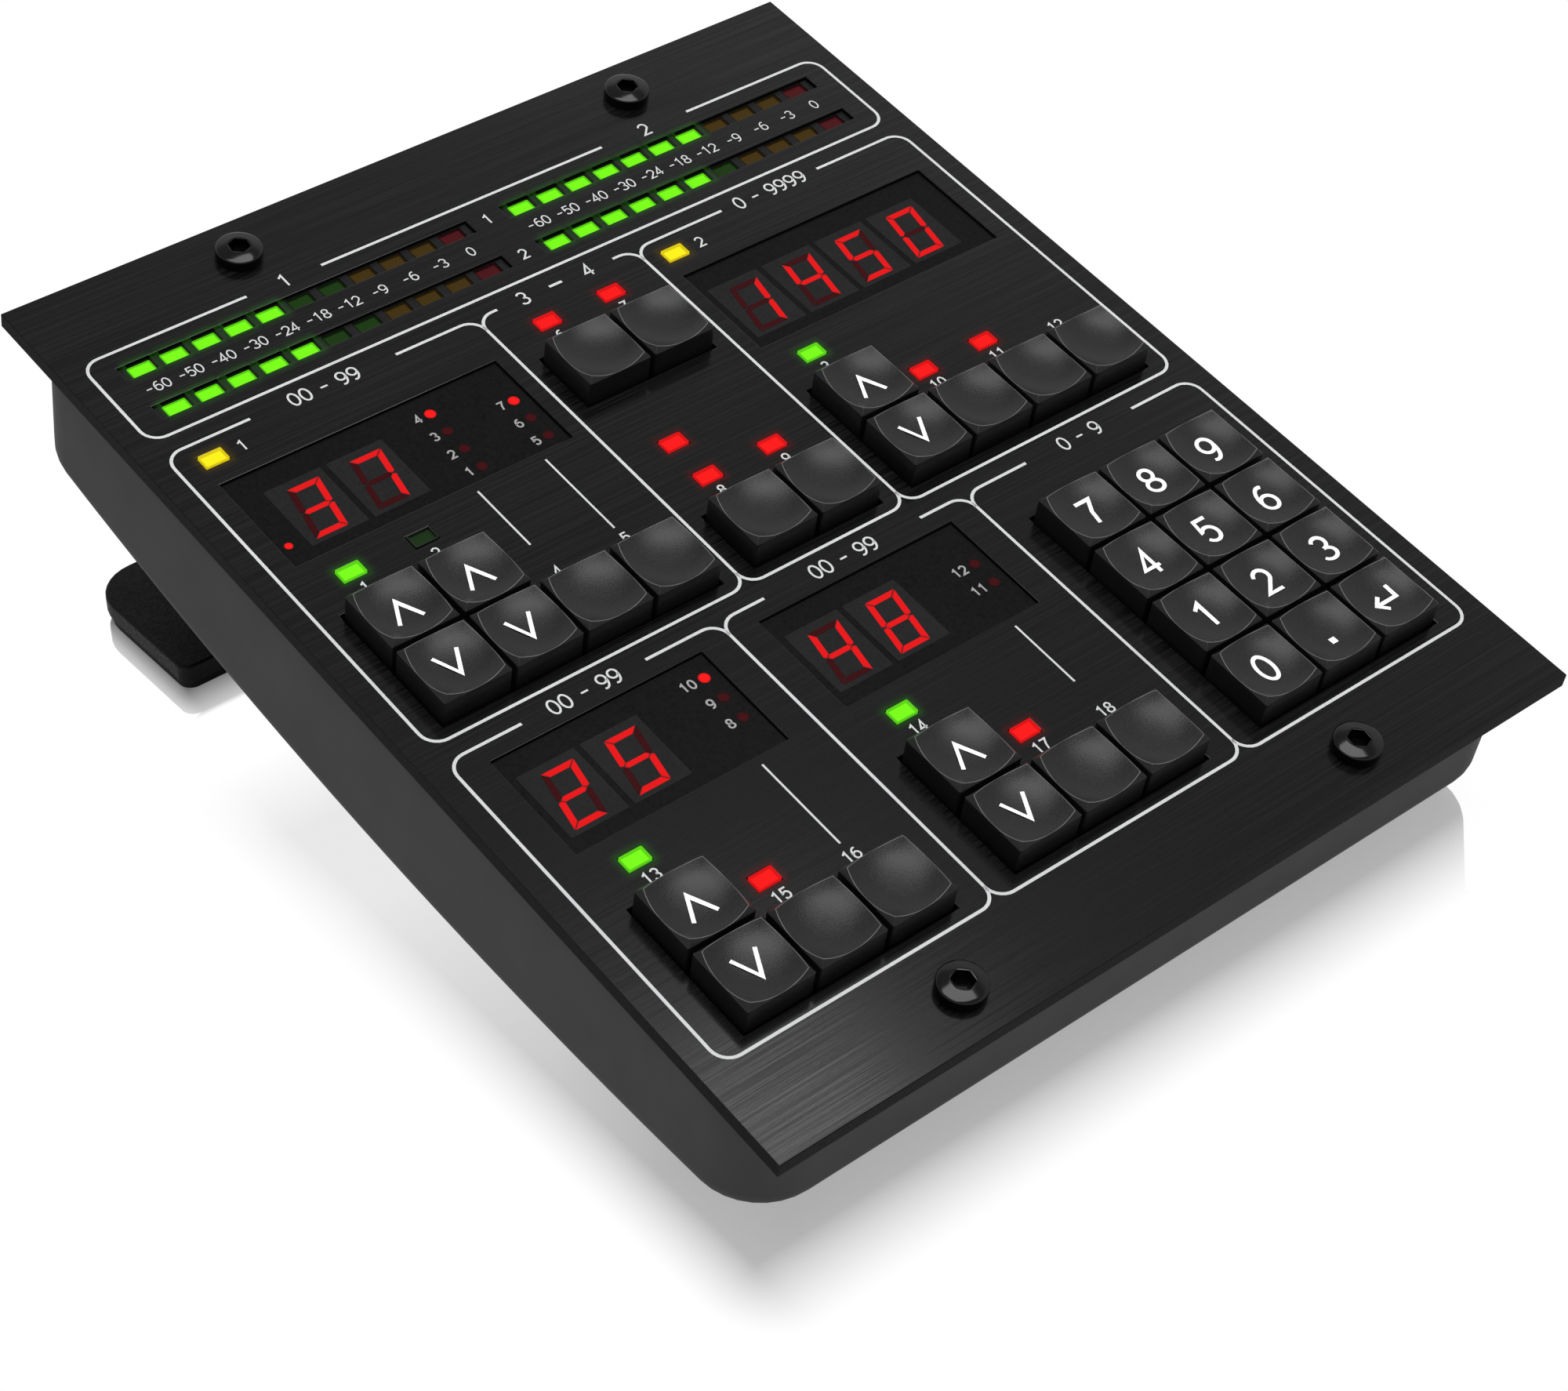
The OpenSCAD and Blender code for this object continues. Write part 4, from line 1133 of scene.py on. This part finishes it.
SCALE_Y = 60.5
SCALE = ("-60", "-50", "-40", "-30", "-24", "-18", "-12", "-9", "-6", "-3", "0")
for side in (-1, 1):
    for x, words in zip(spaced(side * METER_X, METER_LIGHTS, METER_STEP), SCALE):
        figures(panel_print, words, *SCALE_TYPE, x - 0.25 * (len(words) > 1), SCALE_Y)
for row, y in enumerate(METER_ROWS):
    figures(panel_print, str(row + 1), *MARK_TYPE, 0, y)

# Numbers beside the yellow indicators, below the lights of the two-key columns and behind the other keys
for words, x in (("1", -55.0), ("2", 22.3)):
    figures(panel_print, words, *MARK_TYPE, x, YELLOW_Y, 0)
BELOW_LIGHT = -3.2
BEHIND_KEY = 8.0
# Rows of numbers, in their order: places across, the row's place up the slope, and how far off it they are
MARK_ROWS = (
    (left_columns[:2] + right_columns[:1], upper_rows[2], BELOW_LIGHT),
    (left_columns[2:], upper_rows[0], BEHIND_KEY),
    (pair_columns, PAIR_KEY_Y, BEHIND_KEY),
    (pair_columns + right_columns[1:], upper_rows[0], BEHIND_KEY),
    (feedback_columns[:1] + preset_columns[:1], lower_rows[2], BELOW_LIGHT),
    (feedback_columns[1:] + preset_columns[1:], lower_rows[0], BEHIND_KEY),
)
mark_places = [(x, y + off) for across, y, off in MARK_ROWS for x in across]
for number, (x, y) in enumerate(mark_places, 1):
    figures(panel_print, str(number), *KEY_TYPE, x, y)


def on_window(x, y):
    return WINDOW_FACE + 0.004


for number, (x, y, _) in enumerate(LAMPS, 1):
    figures(dim_print, str(number), *LAMP_TYPE, x - 1.4, y, 1, on_window)
make("panel_lines", panel_print, print_white)
make("window_figures", dim_print, window_print)


# Finishes of the model's own pieces

CAD_FINISHES = {
    "main_board": board_green, "switch_bodies": switch_black, "meter_bars": bar_black,
    "modulation_window": pane_smoke, "delay_window": pane_smoke, "feedback_window": pane_smoke,
    "preset_window": pane_smoke, "digit_blocks": digit_grey, "window_lamps": lamp_unlit,
    "board_standoffs": standoff_brass, "board_screws": screw_steel, "data_socket": socket_metal,
    "stand_screws": screw_steel,
}
for node, finish in CAD_FINISHES.items():
    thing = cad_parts[node]
    thing.data.materials.clear()
    thing.data.materials.append(finish.owner)


# Floor, light and camera

FLOOR_SIDE = 16
FLOOR_Z = -0.00004
floor_mesh = bpy.data.meshes.new("studio_floor")
floor_corners = [(x, y, FLOOR_Z) for x, y in rectangle(0, 0, FLOOR_SIDE, FLOOR_SIDE)]
floor_mesh.from_pydata(floor_corners, [], [(0, 1, 2, 3)])
floor = bpy.data.objects.new("studio_floor", floor_mesh)
bpy.context.scene.collection.objects.link(floor)
floor_white = Finish("floor_white")
floor_white.set(base_color=(0.9, 0.9, 0.9, 1), roughness=0.9, specular_ior_level=0.0)
gloss = floor_white.add("ShaderNodeBsdfGlossy", {}, {"Color": (1, 1, 1, 1), "Roughness": 0.03})
patches = floor_white.noise((3, 3, 3), 2.0)
paper = Strand(floor_white, floor_white.shader.outputs[0])
white = floor_white.add("ShaderNodeEmission", {}, {"Color": (1, 1, 1, 1), "Strength": 1.0})


def closeness(low_y, high_y, half_x, reach, pull):
    """1 on the floor under a box, fading to 0 at a reach from it, sooner to the sides; millimetres."""
    place = floor_white.add("ShaderNodeTexCoord", out="Object")
    middle = (0, (low_y + high_y) / 2 * MM, 0)
    half = (half_x * MM, (high_y - low_y) / 2 * MM, 1)
    away = floor_white.vector("ABSOLUTE", floor_white.vector("SUBTRACT", place, middle))
    away = floor_white.vector("MAXIMUM", floor_white.vector("SUBTRACT", away, half))
    away = floor_white.vector("MULTIPLY", away, (pull, 1, 1))
    distance = floor_white.vector("LENGTH", away, out="Value")
    return 1 - floor_white.ramp(distance, 0, reach * MM)


# Boxes on the floor: front, rear and half width, their reach, and how much sooner they fade to the sides
FOOT_SHADOW = (-72, -40, 58, 8, 1)
TRAY_MIRROR = (-76, 45, 66, 12, 1.33)
STAND_MIRROR = (57, 81, 60.5, 11, 2)

# Seen directly or mirrored, the floor is plain white but for the shadow close to the object
seen = floor_white.rays("Is Camera Ray", "Is Glossy Ray", "Is Transmission Ray")
place = floor_white.add("ShaderNodeTexCoord", out="Object")
rearward = floor_white.add("ShaderNodeSeparateXYZ", {}, {0: place}, "Y")
fade = (1 - 0.65 * floor_white.ramp(rearward, -58 * MM, 5 * MM)
        - 0.35 * floor_white.ramp(rearward, 22 * MM, 38 * MM))
shadow = 0.08 * closeness(*FOOT_SHADOW)
under_tray = (0.53 + 0.04 * patches) * fade * closeness(*TRAY_MIRROR) ** 1.3
by_stand = 0.84 * closeness(*STAND_MIRROR) * floor_white.ramp(rearward, 50.6 * MM, 51.6 * MM)
mirror = floor_white.ramp(under_tray + by_stand, 0, 1)
lit = floor_white.add("ShaderNodeMixShader", {}, {0: seen * (1 - shadow), 1: paper, 2: white})
surface = floor_white.add("ShaderNodeMixShader", {}, {0: mirror, 1: lit, 2: gloss})
floor_white.feed(floor_white.tree.nodes["Material Output"].inputs["Surface"], surface)
floor_mesh.materials.append(floor_white.owner)

# A light tent: bright at the horizon but for a gap behind the camera, and plain white where it is seen
world = bpy.data.worlds.new("light_tent")
bpy.context.scene.world = world
tent = Finish("light_tent", world)
direction = tent.add("ShaderNodeTexCoord", out="Generated")
rise = tent.add("ShaderNodeSeparateXYZ", {}, {0: direction}, "Z")
behind = tent.vector("DOT_PRODUCT", direction, (-0.64, -0.77, 0), "Value")
level = (0.15 + 0.85 * (1 - tent.ramp(rise, 0.18, 0.4))) * (1 - 0.97 * tent.ramp(behind, 0.52, 0.85))
mirrored = 1 - 0.5 * tent.ramp(rise, 0.67, 0.75) - 0.3 * (1 - tent.ramp(rise, 0.37, 0.5))
level = level + (mirrored - level) * tent.rays("Is Glossy Ray")
level = level + (1 - level) * tent.rays("Is Camera Ray", "Is Transmission Ray")
tent_colour = tent.mix(tent.ramp(level, 0, 1), (0, 0, 0, 1), (1, 1, 1, 1))
tent.feed(tent.tree.nodes["Background"].inputs["Color"], tent_colour)

# One wide lamp overhead, between these sides in metres
LAMP_LEFT = -0.36
LAMP_RIGHT = 0.475
LAMP_FRONT = -0.42
LAMP_REAR = 0.215
LAMP_Z = 0.98
lamp = bpy.data.lights.new("main_softbox", "AREA")
lamp.shape = "RECTANGLE"
lamp.size = LAMP_RIGHT - LAMP_LEFT
lamp.size_y = LAMP_REAR - LAMP_FRONT
lamp.energy = 10.6
lamp_holder = bpy.data.objects.new("main_softbox", lamp)
lamp_holder.location = ((LAMP_LEFT + LAMP_RIGHT) / 2, (LAMP_FRONT + LAMP_REAR) / 2, LAMP_Z)
bpy.context.scene.collection.objects.link(lamp_holder)

camera = bpy.data.cameras.new("camera")
camera.sensor_fit = "HORIZONTAL"
camera.sensor_width = 36
camera.lens = 80.18
camera.shift_x = -0.00391
camera.shift_y = -0.04768
camera.clip_start = 0.01
camera_holder = bpy.data.objects.new("camera", camera)
to_right = Vector((0.7667, -0.64199, 0.00021))
to_top = Vector((0.40148, 0.47967, 0.78021))
to_back = Vector((-0.50096, -0.59814, 0.62552))
turned = Matrix((to_right, to_top, to_back)).transposed().to_4x4()
camera_holder.matrix_world = Matrix.Translation((-0.23862, -0.28839, 0.31646)) @ turned
bpy.context.scene.collection.objects.link(camera_holder)
bpy.context.scene.camera = camera_holder
bpy.context.scene.view_settings.view_transform = "Standard"
